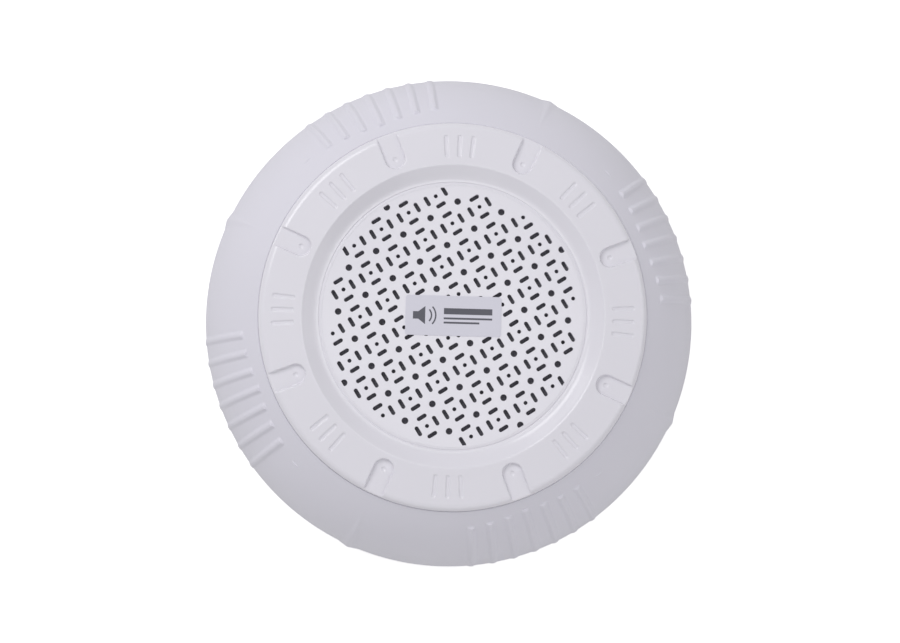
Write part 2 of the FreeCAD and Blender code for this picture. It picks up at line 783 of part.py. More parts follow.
def driver_terminal_board():
    """Insulating board with a foot under the flange, facing the transformer."""
    inner = tag_board_face
    top = flange_bottom
    plate = block(tag_board_width, tag_board_thickness, tag_board_low, top,
                  0, -inner - tag_board_thickness / 2)
    foot = block(tag_board_width, tag_foot, top - tag_board_thickness, top, 0, -inner - tag_foot / 2)
    return plate.fuse(foot).removeSplitter()


def driver_terminals():
    face = -tag_board_face - tag_board_thickness
    tags = []
    for x in (-tag_spacing / 2, tag_spacing / 2):
        tag = block(tag_width, tag_thickness, tag_low, tag_low + tag_length, x,
                    face - tag_thickness / 2)
        hole = Part.makeCylinder(tag_hole_radius, 4, FreeCAD.Vector(x, face - 2, tag_low + 2),
                                 FreeCAD.Vector(0, 1, 0))
        tags.append(tag.cut(hole))
    return Part.makeCompound(tags)


def driver_screws():
    places = [at_angle(driver_screw_radius, a) for a in post_angles]
    return screws(flange_bottom, flange_top, driver_screw_bite - pilot_tip_clearance, places)


def panel_screws():
    places = [at_angle(screw_recess_radius, a) for a in recess_angles]
    return screws(ledge_bottom, ledge_top, panel_screw_bite - pilot_tip_clearance, places)


# ---- rear cover and base ---------------------------------------------------------------
def board_screw_places():
    x = board_length / 2 - standoff_diameter / 2
    return [(-x, parts_radius), (x, parts_radius)]


def block_screw_places():
    x = block_length / 2 + ear_offset
    return [(-x, parts_radius), (x, parts_radius)]


def strap_screw_places():
    x = core_length / 2 + strap_sheet + strap_foot / 2
    return [(-x, -parts_radius), (x, -parts_radius)]


def rear_cover():
    """Closes the housing behind the driver and carries the bayonet feet."""
    cover = cylinder(cover_radius, cover_bottom, cover_top)
    extras = []
    leg_inner = leg_outer - leg_thickness
    for angle in bayonet_angles:
        extras.append(sector(leg_inner, leg_outer, foot_top - foot_thickness, cover_bottom + 1,
                             angle, bayonet_angle))
        extras.append(sector(leg_inner, foot_outer, foot_top - foot_thickness, foot_top,
                             angle, bayonet_angle))
    for x, y in board_screw_places():
        extras.append(cylinder(standoff_diameter / 2, cover_bottom + 1, cover_top + standoff_height, x, y))
    for x, y in strap_screw_places():
        extras.append(cylinder(standoff_diameter / 2, cover_bottom + 1, cover_top + stiffener_height,
                               x, y))
    stiffener = ring(yoke_radius + stiffener_gap, yoke_radius + stiffener_gap + 2, cover_top - 0.5,
                     cover_top + stiffener_height)
    cover = cover.fuse(extras + [stiffener])
    cuts = [moved(stadium(wire_slot_length, wire_slot_width, cover_bottom - 1, cover_top + 1),
                  0, wire_slot_y, 0)]
    for angle in post_angles:
        x, y = at_angle(post_radius, angle)
        cuts.append(cylinder(passing_radius, cover_bottom - 1, cover_top + 1, x, y))
    pilot = pilot_radius
    for x, y in board_screw_places():
        cuts.append(cylinder(pilot, cover_top - 0.5, cover_top + standoff_height + 1, x, y))
    for x, y in strap_screw_places():
        cuts.append(cylinder(pilot, cover_bottom + 0.8, cover_top + 3, x, y))
    for x, y in block_screw_places():
        cuts.append(cylinder(pilot, cover_bottom - 1, cover_top - 0.3, x, y))
    return cover.cut(cuts)


def rear_cover_screws():
    places = [at_angle(post_radius, a) for a in post_angles]
    return screws(cover_bottom, cover_top, cover_screw_bite, places)


def mounting_base():
    """Plate that is fixed to the wall, with the bayonet ring and its hooks."""
    base = cylinder(base_radius, 0, base_top)
    ring_top = cover_bottom - bayonet_play
    extras = [ring(ring_inner, ring_outer, base_top - 1, ring_top)]
    for angle in bayonet_angles:
        extras.append(sector(hook_inner, ring_inner + 1, hook_bottom, hook_bottom + hook_thickness,
                             angle, bayonet_angle))
        stop = angle - bayonet_angle / 2 - stop_offset
        extras.append(sector(hook_inner, ring_inner + 1, base_top - 1, hook_bottom + hook_thickness,
                             stop, stop_arc))
    inner_rib = entry_diameter / 2 + grommet_lip + clearance_round_grommet
    for i in range(base_rib_count):
        angle = 360 / base_rib_count * (i + 0.5) + 22.5
        rib = block(ring_inner + 0.5 - inner_rib, base_rib_width, base_top - 1,
                    base_top + base_rib_height, (ring_inner + 0.5 + inner_rib) / 2)
        extras.append(turned(rib, angle))
    extras.append(ring(inner_rib - 1.5, inner_rib + 0.5, base_top - 1, base_top + base_rib_height))
    holes = []
    for i in range(4):
        x, y = at_angle(base_screw_pcd / 2, base_screw_angle + 90 * i)
        extras.append(cylinder(base_screw_pad_diameter / 2, base_top - 1, base_top + 1, x, y))
        holes.append(cylinder(base_screw_hole_diameter / 2, -1, base_top + 5, x, y))
    base = base.fuse(extras)
    lip_radius = entry_diameter / 2 + grommet_lip
    holes.append(cylinder(entry_diameter / 2, -1, base_top + 1))
    holes.append(cylinder(lip_radius + 0.2, -1, grommet_recess + grommet_lip_thickness))
    return base.cut(holes)


def cable_grommet():
    """Rubber grommet with a lip on each side of the base plate."""
    neck = entry_diameter / 2
    lip = neck + grommet_lip
    bore = grommet_bore_diameter / 2
    back = grommet_recess
    front = base_top + grommet_lip_thickness
    points = [(bore, back), (lip, back), (lip, back + grommet_lip_thickness),
              (neck, back + grommet_lip_thickness), (neck, base_top), (lip, base_top),
              (lip - 0.6, front), (bore, front)]
    return revolved(points)


# ---- electrical parts ------------------------------------------------------------------
def transformer_core():
    """Laminated core with two windows, lying across the housing."""
    bottom = cover_top + strap_gap
    core = block(core_length, core_depth, bottom, bottom + core_height, 0, -parts_radius)
    window = (core_length - 4 * core_leg) / 2
    offset = core_leg + window / 2
    cuts = [block(window, core_depth + 2, bottom + core_leg, bottom + core_height - core_leg,
                  x, -parts_radius) for x in (-offset, offset)]
    return core.cut(cuts)


def bobbin_box(grow, depth, low, high):
    """Square tube round the core's middle leg, grown by a wall."""
    across = 2 * core_leg + 2 * bobbin_gap
    return block(across + 2 * grow, depth + 2 * grow, low, high, 0, -parts_radius)


def transformer_bobbin():
    low = cover_top + strap_gap + core_leg + bobbin_gap
    high = cover_top + strap_gap + core_height - core_leg - bobbin_gap
    depth = core_depth + 2 * bobbin_gap
    flange = (core_length - 4 * core_leg) / 2 - 2 * bobbin_gap
    tube = bobbin_box(bobbin_wall, depth, low, high)
    ends = [block(2 * core_leg + 2 * flange, winding_depth + 2 * bobbin_wall, z, z + bobbin_wall,
                  0, -parts_radius) for z in (low, high - bobbin_wall)]
    return tube.fuse(ends).cut(bobbin_box(0, depth, low - 1, high + 1))


def transformer_windings():
    low = cover_top + strap_gap + core_leg + bobbin_gap + bobbin_wall
    high = cover_top + strap_gap + core_height - core_leg - bobbin_gap - bobbin_wall
    depth = core_depth + 2 * bobbin_gap
    flange = (core_length - 4 * core_leg) / 2 - 3 * bobbin_gap
    coil = block(2 * core_leg + 2 * flange, winding_depth, low, high, 0, -parts_radius)
    return coil.cut(bobbin_box(bobbin_wall, depth, low - 1, high + 1))


def transformer_strap():
    """Steel strap over the core with a foot each side."""
    low = cover_top + stiffener_height
    top = cover_top + strap_gap + core_height
    outer = core_length + 2 * (strap_gap + strap_sheet)
    y = -parts_radius
    hoop = block(outer, core_depth - 2, low, top + strap_gap + strap_sheet, 0, y)
    hoop = hoop.cut(block(core_length + 2 * strap_gap, core_depth, low - 1, top + strap_gap, 0, y))
    feet = []
    for side in (-1, 1):
        x = side * (outer / 2 - strap_sheet / 2 + strap_foot / 2)
        feet.append(block(strap_foot + strap_sheet, core_depth - 2, low, low + strap_sheet, x, y))
    strap = hoop.fuse(feet)
    holes = [cylinder(passing_radius, low - 1, low + 3, x, yy)
             for x, yy in strap_screw_places()]
    return strap.cut(holes)


def flipped(shape, z):
    """Turns screws over, so that they are driven downwards, about the height z."""
    copy = shape.copy()
    copy.rotate(FreeCAD.Vector(0, 0, z), FreeCAD.Vector(1, 0, 0), 180)
    return copy


def downward_screws(head_face, bite, places, **sizes):
    mirrored = [(x, -y) for x, y in places]
    return flipped(screws(head_face, head_face, bite, mirrored, **sizes), head_face)


def transformer_screws():
    top = cover_top + stiffener_height + strap_sheet
    return downward_screws(top, strap_sheet + 2.0, strap_screw_places())


def board_bottom():
    return cover_top + standoff_height


def filter_board():
    low = board_bottom()
    board = block(board_length, board_width, low, low + board_thickness, 0, parts_radius)
    holes = [cylinder(passing_radius, low - 1, low + 3, x, y)
             for x, y in board_screw_places()]
    return board.cut(holes)


def board_screws():
    top = board_bottom() + board_thickness
    return downward_screws(top, board_thickness + small_screw_bite, board_screw_places())


def lying_cylinder(diameter, length, x, y, base):
    start = FreeCAD.Vector(x - length / 2, y, base + diameter / 2)
    return Part.makeCylinder(diameter / 2, length, start, FreeCAD.Vector(1, 0, 0))


def blocking_capacitor():
    """Bipolar electrolytic lying on the board, with its rolled groove."""
    top = board_bottom() + board_thickness
    y = parts_radius + capacitor_offset
    can = lying_cylinder(capacitor_diameter, capacitor_length, 0, y, top)
    groove_x = capacitor_length / 2 - groove_inset
    wide = lying_cylinder(capacitor_diameter + 4, groove_width, groove_x, y, top - 2)
    thin = lying_cylinder(capacitor_diameter - 1, 2.0, groove_x, y, top + 0.5)
    return can.cut(wide.cut(thin))


def thermal_fuse():
    top = board_bottom() + board_thickness
    return lying_cylinder(fuse_diameter, fuse_length, 0, parts_radius - fuse_offset, top)


def pole_positions():
    first = -(block_poles - 1) / 2 * block_pole_pitch
    return [first + block_pole_pitch * i for i in range(block_poles)]


def terminal_block():
    """Insulating terminal block under the rear cover, wired before the unit is hung."""
    low = cover_bottom - block_height
    body = block(block_length, block_depth, low, cover_bottom, 0, parts_radius)
    ears = [block(ear_length, ear_width, cover_bottom - ear_thickness, cover_bottom, x, y)
            for x, y in block_screw_places()]
    body = body.fuse(ears)
    cuts = []
    for x in pole_positions():
        cuts.append(Part.makeCylinder(block_hole_diameter / 2, block_depth + 2,
                                      FreeCAD.Vector(x, parts_radius - block_depth / 2 - 1,
                                                     cover_bottom - wire_drop),
                                      FreeCAD.Vector(0, 1, 0)))
        for side in (-1, 1):
            cuts.append(cylinder(block_screw_diameter / 2 + 0.2, low - 1, cover_bottom - wire_drop,
                                 x, parts_radius + side * block_depth / 4))
    for x in pole_positions()[:-1]:
        cuts.append(block(1.0, block_depth + 2, low - 1, low + 2, x + block_pole_pitch / 2, parts_radius))
    for x, y in block_screw_places():
        cuts.append(cylinder(passing_radius, low, cover_bottom + 1, x, y))
    return body.cut(cuts)


def terminal_clamps():
    """Brass sleeves in the terminal block, one for each pole."""
    sleeves = []
    length = block_depth - 3
    for x in pole_positions():
        start = FreeCAD.Vector(x, parts_radius - length / 2, cover_bottom - wire_drop)
        along = FreeCAD.Vector(0, 1, 0)
        sleeve = Part.makeCylinder(block_hole_diameter / 2 - 0.1, length, start, along)
        bore = Part.makeCylinder(block_hole_diameter / 2 - 0.1 - sleeve_wall, length + 2,
                                 start - along, along)
        holes = [cylinder(block_screw_diameter / 2 + 0.02, cover_bottom - block_height,
                          cover_bottom - wire_drop, x, parts_radius + side * block_depth / 4)
                 for side in (-1, 1)]
        sleeves.append(sleeve.cut([bore] + holes))
    return Part.makeCompound(sleeves)


def terminal_screws():
    """Slotted clamp screws, two for each pole."""
    low = cover_bottom - block_height + 0.8
    tip = cover_bottom - wire_drop - lead_diameter / 2
    pins = []
    for x in pole_positions():
        for side in (-1, 1):
            y = parts_radius + side * block_depth / 4
            pin = cylinder(block_screw_diameter / 2, low, tip, x, y)
            pins.append(pin.cut(block(block_screw_diameter + 1, 0.6, low - 1, low + 0.8, x, y)))
    return Part.makeCompound(pins)


def terminal_block_screws():
    return screws(cover_bottom - ear_thickness, cover_bottom, rear_cover_thickness - 0.6,
                  block_screw_places())


def driver_lead(side):
    """Lead from the transformer's winding up to one of the driver's tags."""
    x = side * tag_spacing / 2
    start_y = -parts_radius + winding_depth / 2
    low_z = cover_top + core_height / 2 + 2
    tag_z = tag_low + 2
    return lead([(side * 3.0, start_y, low_z), (side * 3.0, -tag_lead_y, low_z),
                 (x, -tag_lead_y, tag_z - 4), (x, -tag_lead_y, tag_z)])


def line_lead(side):
    """Lead from the filter board round the magnet to the transformer."""
    around = magnet_radius + 13
    low = cover_top + 1.5
    board_z = board_bottom() + board_thickness / 2
    board = parts_radius - board_width / 2
    start = -parts_radius + winding_depth / 2
    end_z = low + 7
    return lead([(side * 9, board, board_z), (side * 9, board - 4, board_z),
                 (side * around * 0.62, board * 0.74, low),
                 (side * around, 14, low), (side * around, -14, low),
                 (side * around * 0.62, -board * 0.74, low + 1),
                 (side * 6.5, start + 5, end_z), (side * 6.5, start, end_z)])


def feed_lead(side):
    """Short lead from the filter board through the rear cover to the terminal block."""
    x = side * block_pole_pitch / 2
    board = parts_radius - board_width / 2
    board_z = board_bottom() + board_thickness / 2
    face = parts_radius - block_depth / 2
    low = cover_bottom - wire_drop
    return lead([(x, board, board_z), (x, wire_slot_y, board_z), (x, wire_slot_y, low),
                 (x, face + 5, low)])


pieces = {
    "mounting_base": mounting_base,
    "cable_grommet": cable_grommet,
    "rear_cover": rear_cover,
    "rear_cover_screws": rear_cover_screws,
    "outer_dome": outer_dome,
    "front_panel": front_panel,
    "panel_screws": panel_screws,
    "front_label": front_label,
    "grille_cloth": grille_cloth,
    "speaker_gasket": speaker_gasket,
    "driver_basket": driver_basket,
    "driver_screws": driver_screws,
    "cone_surround": cone_surround,
    "speaker_cone": speaker_cone,
    "dust_cap": dust_cap,
    "spider": spider,
    "voice_coil_former": voice_coil_former,
    "voice_coil_winding": voice_coil_winding,
    "top_plate": top_plate,
    "magnet_ring": magnet_ring,
    "pole_yoke": pole_yoke,
    "driver_terminal_board": driver_terminal_board,
    "driver_terminals": driver_terminals,
    "transformer_core": transformer_core,
    "transformer_bobbin": transformer_bobbin,
    "transformer_windings": transformer_windings,
    "transformer_strap": transformer_strap,
    "transformer_screws": transformer_screws,
    "filter_board": filter_board,
    "board_screws": board_screws,
    "blocking_capacitor": blocking_capacitor,
    "thermal_fuse": thermal_fuse,
    "terminal_block": terminal_block,
    "terminal_clamps": terminal_clamps,
    "terminal_screws": terminal_screws,
    "terminal_block_screws": terminal_block_screws,
}
for name, side in (("red", 1), ("black", -1)):
    pieces["driver_lead_" + name] = lambda side=side: driver_lead(side)
    pieces["line_lead_" + name] = lambda side=side: line_lead(side)
    pieces["feed_lead_" + name] = lambda side=side: feed_lead(side)

os.makedirs("parts", exist_ok=True)
for name, make in pieces.items():
    shape = make()
    box = shape.BoundBox
    print(f"{name}: {len(shape.Solids)} solid, volume {shape.Volume:.1f}, valid {shape.isValid()}, "
          f"z {box.ZMin:.2f} to {box.ZMax:.2f}, x {box.XMin:.1f} to {box.XMax:.1f}")
    shape.exportStep("parts/" + name + ".step")
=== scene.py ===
import math
import bmesh
import bpy
import numpy as np
from mathutils import Matrix, Vector


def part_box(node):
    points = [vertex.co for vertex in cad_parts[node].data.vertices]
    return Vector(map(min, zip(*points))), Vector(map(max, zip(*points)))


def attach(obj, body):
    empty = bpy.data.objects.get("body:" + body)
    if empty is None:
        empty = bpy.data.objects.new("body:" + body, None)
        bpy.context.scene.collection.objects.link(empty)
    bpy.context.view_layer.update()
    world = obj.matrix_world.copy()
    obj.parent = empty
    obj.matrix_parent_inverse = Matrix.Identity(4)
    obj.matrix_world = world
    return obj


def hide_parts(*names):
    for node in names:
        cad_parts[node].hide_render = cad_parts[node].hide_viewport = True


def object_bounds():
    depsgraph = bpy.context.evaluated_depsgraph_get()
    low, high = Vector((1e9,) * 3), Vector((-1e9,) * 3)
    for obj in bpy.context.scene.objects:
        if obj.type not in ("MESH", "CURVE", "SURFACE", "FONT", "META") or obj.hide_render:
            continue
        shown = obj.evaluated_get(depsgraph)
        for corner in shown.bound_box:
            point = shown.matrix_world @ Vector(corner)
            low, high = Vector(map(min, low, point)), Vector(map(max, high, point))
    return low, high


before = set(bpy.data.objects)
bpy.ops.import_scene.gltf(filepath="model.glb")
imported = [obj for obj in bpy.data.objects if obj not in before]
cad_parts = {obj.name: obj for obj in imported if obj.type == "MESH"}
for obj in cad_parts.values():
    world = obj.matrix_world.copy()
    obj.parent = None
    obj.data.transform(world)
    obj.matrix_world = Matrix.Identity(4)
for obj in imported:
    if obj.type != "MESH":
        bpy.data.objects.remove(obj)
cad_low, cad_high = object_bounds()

# ---- Table and daylight ------------------------------------------------------------------
# The speaker lies face up on a plain white table, as it would come out of its box. A wide
# soft lamp stands at the upper left, two weaker ones open the shadows, and a small panel
# overhead shines back from whatever lies level. The table throws little light back.
table_half = 3.0
table_tone = 0.93
table_bounce = 0.66
table_glow = 0.50
table_dim = 0.1
room_light = 0.44
lamp_aim = Vector((0, 0, cad_high.z * 0.6))
lamps = {
    "window_lamp": dict(place=(-0.75, 0.75, 1.05), size=0.85, power=9.6),
    "side_lamp": dict(place=(1.05, -0.1, 0.95), size=1.0, power=2.6),
    "low_lamp": dict(place=(0.05, -1.15, 0.75), size=0.9, power=1.8),
    "overhead_panel": dict(place=(0.03, 0.03, 1.0), size=0.27, power=0.46),
}

bpy.ops.mesh.primitive_plane_add(size=2 * table_half, location=(0, 0, cad_low.z - 0.0003))
table = bpy.context.object
table.name = "table"
table_paint = bpy.data.materials.new("table_white")
table_paint.use_nodes = True
paint = table_paint.node_tree.nodes["Principled BSDF"]
paint.inputs["Roughness"].default_value = 0.9
paint.inputs["Emission Color"].default_value = (1, 1, 1, 1)
own = table_paint.node_tree
path = own.nodes.new("ShaderNodeLightPath")
for socket, hidden, seen in (("Emission Strength", table_dim, table_glow),
                             ("Base Color", table_bounce, table_tone)):
    choice = own.nodes.new("ShaderNodeMapRange")
    choice.inputs["To Min"].default_value = hidden
    choice.inputs["To Max"].default_value = seen
    own.links.new(path.outputs["Is Camera Ray"], choice.inputs["Value"])
    own.links.new(choice.outputs["Result"], paint.inputs[socket])
table.data.materials.append(table_paint)

for name, lamp in lamps.items():
    light = bpy.data.lights.new(name, "AREA")
    light.shape = "SQUARE"
    light.size = lamp["size"]
    light.energy = lamp["power"]
    holder = bpy.data.objects.new(name, light)
    holder.location = lamp["place"]
    holder.rotation_euler = (lamp_aim - holder.location).to_track_quat("-Z", "Y").to_euler()
    bpy.context.scene.collection.objects.link(holder)

world = bpy.data.worlds.new("white_room")
world.use_nodes = True
sky = world.node_tree.nodes["Background"]
sky.inputs["Color"].default_value = (1.0, 1.0, 1.0, 1)
sky.inputs["Strength"].default_value = room_light
bpy.context.scene.world = world
bpy.context.scene.view_settings.view_transform = "Standard"

# ---- Camera ------------------------------------------------------------------------------
# Almost straight above the grille, a little towards the speaker's lower left.
camera_height = 0.562
camera_left = 0.0163
camera_down = 0.0269
aim_height = 0.0158
lens = 53.7

centre = (cad_low + cad_high) / 2
view = bpy.data.cameras.new("front_view")
view.lens = lens
view.sensor_width = 36
camera = bpy.data.objects.new("front_view", view)
camera.location = (centre.x - camera_left, centre.y - camera_down, camera_height)
aim = Vector((centre.x, centre.y, aim_height))
back = (camera.location - aim).normalized()
across = Vector((0, 1, 0)).cross(back).normalized()
turn = Matrix((across, back.cross(across), back)).transposed()
camera.rotation_euler = turn.to_euler()
bpy.context.scene.collection.objects.link(camera)
bpy.context.scene.camera = camera

# ---- Domed housing -----------------------------------------------------------------------
# One injection-moulded shell of white ABS with a satin, spark-eroded skin. It is a wall
# turned about the axis, with grip ribs and four pointers raised out of it, an inner ledge
# for the front panel and four screw posts behind.
mm = 0.001
rim_radius = 100.0
rim_height = 8.0
wall = 2.5
bulge = 5.9
skirt_gap = 1.5
skirt_draft = 0.4
seam_radius = 73.5
seam_lip = 0.2
crest_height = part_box("front_panel")[1].z / mm
seam_height = crest_height - 4.6
ledge_height = crest_height - 7.0
ledge_radius = 60.0
first_angle = 20.5
rib_pitch = 5.15
rib_count = 7
rib_half = 1.1
rib_edge = 1.7
rib_start = 77.4
rib_step = 0.75
rib_crest = 0.95
rib_fade = 0.35
pointer_start = 79.6
pointer_half = 4.8
pointer_crest = 1.0
post_radius = 78.0
post_half = 4.0
pilot = 1.5


def link(name, mesh, material, body, node=None, edges=38):
    """Adds a finished mesh: crisp along sharp edges, dressed, riding its body."""
    piece = bpy.data.objects.new(name, mesh)
    bpy.context.scene.collection.objects.link(piece)
    mesh.set_sharp_from_angle(angle=math.radians(edges))
    mesh.materials.clear()
    mesh.materials.append(material)
    if node:
        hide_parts(node)
    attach(piece, body)
    return piece


def outward(mesh):
    """Turns every normal outward."""
    work = bmesh.new()
    work.from_mesh(mesh)
    bmesh.ops.recalc_face_normals(work, faces=work.faces)
    work.to_mesh(mesh)
    work.free()
    return mesh


def mesh_from(name, points, faces):
    """Smooth mesh with its normals turned outward."""
    mesh = bpy.data.meshes.new(name)
    mesh.from_pydata([tuple(p) for p in points], [], faces)
    mesh.validate()
    outward(mesh).shade_smooth()
    return mesh


def grid_faces(rows, columns, start=0):
    """Quads over rows of points that close on themselves both ways."""
    faces = []
    for i in range(rows):
        here, after = start + i * columns, start + (i + 1) % rows * columns
        for j in range(columns):
            k = (j + 1) % columns
            faces.append((here + j, here + k, after + k, after + j))
    return faces


def ring_points(rows, columns):
    """Points of closed rings: each row gives radius and height for every column's angle."""
    points = []
    for radius, height in rows:
        radius = np.broadcast_to(radius, columns.shape)
        height = np.broadcast_to(height, columns.shape)
        points += list(np.stack([radius * np.cos(columns), radius * np.sin(columns), height],
                                axis=1) * mm)
    return points


def add_posts(points, faces, places, outline):
    """Adds a turned post at each place, from its outline of radius and height."""
    turns = np.radians(np.arange(0, 360, 15))
    for x, y in places:
        start = len(points)
        points += [p + np.array([x, y, 0]) * mm for p in ring_points(outline, turns)]
        faces += grid_faces(len(outline), len(turns), start)


def around(radius, first, count):
    """Places evenly round the axis."""
    turns = np.radians(first + 360 / count * np.arange(count))
    return list(zip(radius * np.cos(turns), radius * np.sin(turns)))


def smoothstep(x):
    x = np.clip(x, 0.0, 1.0)
    return x * x * (3 - 2 * x)


def from_angle(theta, centre):
    return (theta - centre + 180) % 360 - 180


def closer_columns(zones, spacing):
    """Column angles: close together inside each zone of (centre, half width, step)."""
    angles = np.arange(0, 360, spacing)
    for centre, half, step in zones:
        angles = angles[np.abs(from_angle(angles, centre)) > half + step / 2]
        angles = np.append(angles, centre + np.arange(-half, half + step / 2, step))
    return np.radians(np.sort(angles % 360))


chord_r = rim_radius - seam_radius
chord_z = rim_height - seam_height
half_chord = math.hypot(chord_r, chord_z) / 2
arc_radius = (half_chord ** 2 + bulge ** 2) / (2 * bulge)
arc_r = (rim_radius + seam_radius) / 2 + (arc_radius - bulge) * chord_z / (2 * half_chord)
arc_z = (rim_height + seam_height) / 2 - (arc_radius - bulge) * chord_r / (2 * half_chord)
group_angles = [first_angle + 90 * quarter for quarter in range(4)]
rib_places = [(i - (rib_count - 1) / 2) for i in range(rib_count)]


def slope_at(radius):
    return math.acos((radius - arc_r) / arc_radius)


def raised(slope, theta):
    """How far ribs and pointers stand out of the dome, in mm, along a row of columns."""
    radius = arc_r + arc_radius * math.cos(slope)
    rim_slope = slope_at(rim_radius)
    height = np.zeros_like(theta)
    for middle in group_angles:
        for away in rib_places:
            across = np.abs(np.radians(from_angle(theta, middle + rib_pitch * away))) * radius
            start = slope_at(rib_start + rib_step * abs(away))
            run = (start - slope) * arc_radius
            share = min(max(run / ((start - rim_slope) * arc_radius), 0), 1)
            crest = (rib_crest + (rib_fade - rib_crest) * share) * float(smoothstep(run / 0.7))
            height = np.maximum(height, crest * smoothstep((rib_half + rib_edge / 2 - across) / rib_edge))
        across = np.abs(np.radians(from_angle(theta, middle + 45))) * radius
        start = slope_at(pointer_start)
        share = min(max((start - slope) / (start - rim_slope), 1e-6), 1)
        gable = np.clip(1 - across / (pointer_half * share), 0, 1)
        height = np.maximum(height, pointer_crest * share * gable)
    return height


def dome_mesh():
    rim_slope = slope_at(rim_radius)
    first_rib, last_rib = slope_at(rib_start - 0.8), slope_at(rib_start + 4.2)
    slopes = np.concatenate([np.linspace(slope_at(seam_radius), first_rib, 6, endpoint=False),
                             np.linspace(first_rib, last_rib, 24, endpoint=False),
                             np.linspace(last_rib, rim_slope, 26)])
    zones = []
    for middle in group_angles:
        zones += [(middle + rib_pitch * away, 1.8, 0.16) for away in rib_places]
        zones.append((middle + 45, 3.4, 0.28))
    columns = closer_columns(zones, 1.5)
    theta = np.degrees(columns)
    rows = []
    for slope in slopes:
        reach = arc_radius + raised(slope, theta)
        rows.append((arc_r + reach * math.cos(slope), arc_z + reach * math.sin(slope)))
    lift = raised(rim_slope, theta)
    for share in (0.5, 0.94):
        rows.append((rim_radius - skirt_draft * share + lift,
                     rim_height + (skirt_gap - rim_height) * share))
    inner = arc_radius - wall
    low_r = rim_radius - wall - skirt_draft
    rows += [(rim_radius - skirt_draft - 0.35, skirt_gap), (low_r + 0.35, skirt_gap),
             (low_r, skirt_gap + 0.35), (low_r + skirt_draft, rim_height)]
    first = math.asin((rim_height - arc_z) / inner)
    last = math.asin((ledge_height - wall - arc_z) / inner)
    rows += [(arc_r + inner * math.cos(s), arc_z + inner * math.sin(s))
             for s in np.linspace(first, last, 14)[1:]]
    rows += [(ledge_radius + 0.3, ledge_height - wall), (ledge_radius, ledge_height - wall + 0.3),
             (ledge_radius, ledge_height - 0.3), (ledge_radius + 0.3, ledge_height),
             (seam_radius - 0.2, ledge_height), (seam_radius, ledge_height + 0.2),
             (seam_radius, seam_height - 0.8), (seam_radius - seam_lip, seam_height - 0.5),
             (seam_radius - seam_lip, seam_height - 0.1)]
    points = ring_points(rows, columns)
    faces = grid_faces(len(rows), len(columns))
    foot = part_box("rear_cover")[0].z / mm + 10.0
    top = ledge_height - wall - 2.5
    add_posts(points, faces, around(post_radius, first_angle + 22.5, 4),
              [(pilot, top), (post_half, top), (post_half, foot + 0.3), (post_half - 0.3, foot),
               (pilot + 0.2, foot), (pilot, foot + 0.3)])
    return mesh_from("dome_housing", points, faces)


def add(tree, kind, inputs=None, **settings):
    """Adds a node with its settings; inputs are links or plain values, by name or number."""
    node = tree.nodes.new(kind)
    for key, value in settings.items():
        setattr(node, key, value)
    for key, value in (inputs or {}).items():
        if isinstance(value, bpy.types.NodeSocket):
            tree.links.new(value, node.inputs[key])
        else:
            node.inputs[key].default_value = value
    return node


def put(tree, kind, inputs=None, **settings):
    """Adds a node and returns its first output."""
    return add(tree, kind, inputs, **settings).outputs[0]


def new_tree(name, kind, given, made):
    """Node group with inputs (name, socket kind if not a number, value) and outputs."""
    tree = bpy.data.node_groups.new(name, kind)
    for label, *socket, value in given:
        kind = "NodeSocket" + (socket[0] if socket else "Float")
        item = tree.interface.new_socket(label, in_out="INPUT", socket_type=kind)
        if value is not None:
            item.default_value = value
    for label, socket in made:
        tree.interface.new_socket(label, in_out="OUTPUT", socket_type="NodeSocket" + socket)
    return tree, add(tree, "NodeGroupInput").outputs, add(tree, "NodeGroupOutput")


def surface_tree(name, *more):
    """Shader group of one surface: a tone and two roughnesses in, colour to height out."""
    given = [("Tone", "Color", (0.8, 0.8, 0.8, 1)), ("Smooth", 0.35), ("Rough", 0.5)]
    tree, inputs, out = new_tree(name, "ShaderNodeTree", given + list(more),
                                 [("Colour", "Color"), ("Roughness", "Float"), ("Height", "Float")])
    return tree, inputs, out, add(tree, "ShaderNodeTexCoord").outputs["Object"]


def tree_of(*values):
    """The node tree that the first socket among the values belongs to."""
    return next(v.id_data for v in values if isinstance(v, bpy.types.NodeSocket))


def noise(where, scale, detail=2.0, rough=0.5):
    return add(tree_of(where), "ShaderNodeTexNoise", {"Vector": where, "Scale": scale, "Detail": detail,
                                                      "Roughness": rough}).outputs["Fac"]


def calc(operation, a, b=0.0, c=0.5):
    return put(tree_of(a, b, c), "ShaderNodeMath", {0: a, 1: b, 2: c}, operation=operation)


def spread(value, low, high, to_low=0.0, to_high=1.0):
    return add(tree_of(value), "ShaderNodeMapRange", {"Value": value, "From Min": low, "From Max": high,
                                            "To Min": to_low, "To Max": to_high}).outputs["Result"]


def gloss(given, value, low=0.3, high=0.7):
    """Roughness between the surface's two, as the value goes from low to high."""
    return spread(value, low, high, given["Smooth"], given["Rough"])


def blend(factor, a, b):
    return add(tree_of(factor, a, b), "ShaderNodeMix", {"Factor": factor, "A": a, "B": b},
               data_type="RGBA").outputs["Result"]


def shaded(colour, value, amount):
    """The colour made lighter and darker by an amount as the value swings about a half."""
    swing = spread(value, 0.0, 1.0, 1.0 - amount / 2, 1.0 + amount / 2)
    return add(tree_of(colour), "ShaderNodeVectorMath", {0: colour, "Scale": swing},
               operation="SCALE").outputs["Vector"]


def deliver(out, colour, roughness, height):
    for socket, value in zip(out.inputs, (colour, roughness, height)):
        out.id_data.links.new(value, socket)
    return out.id_data


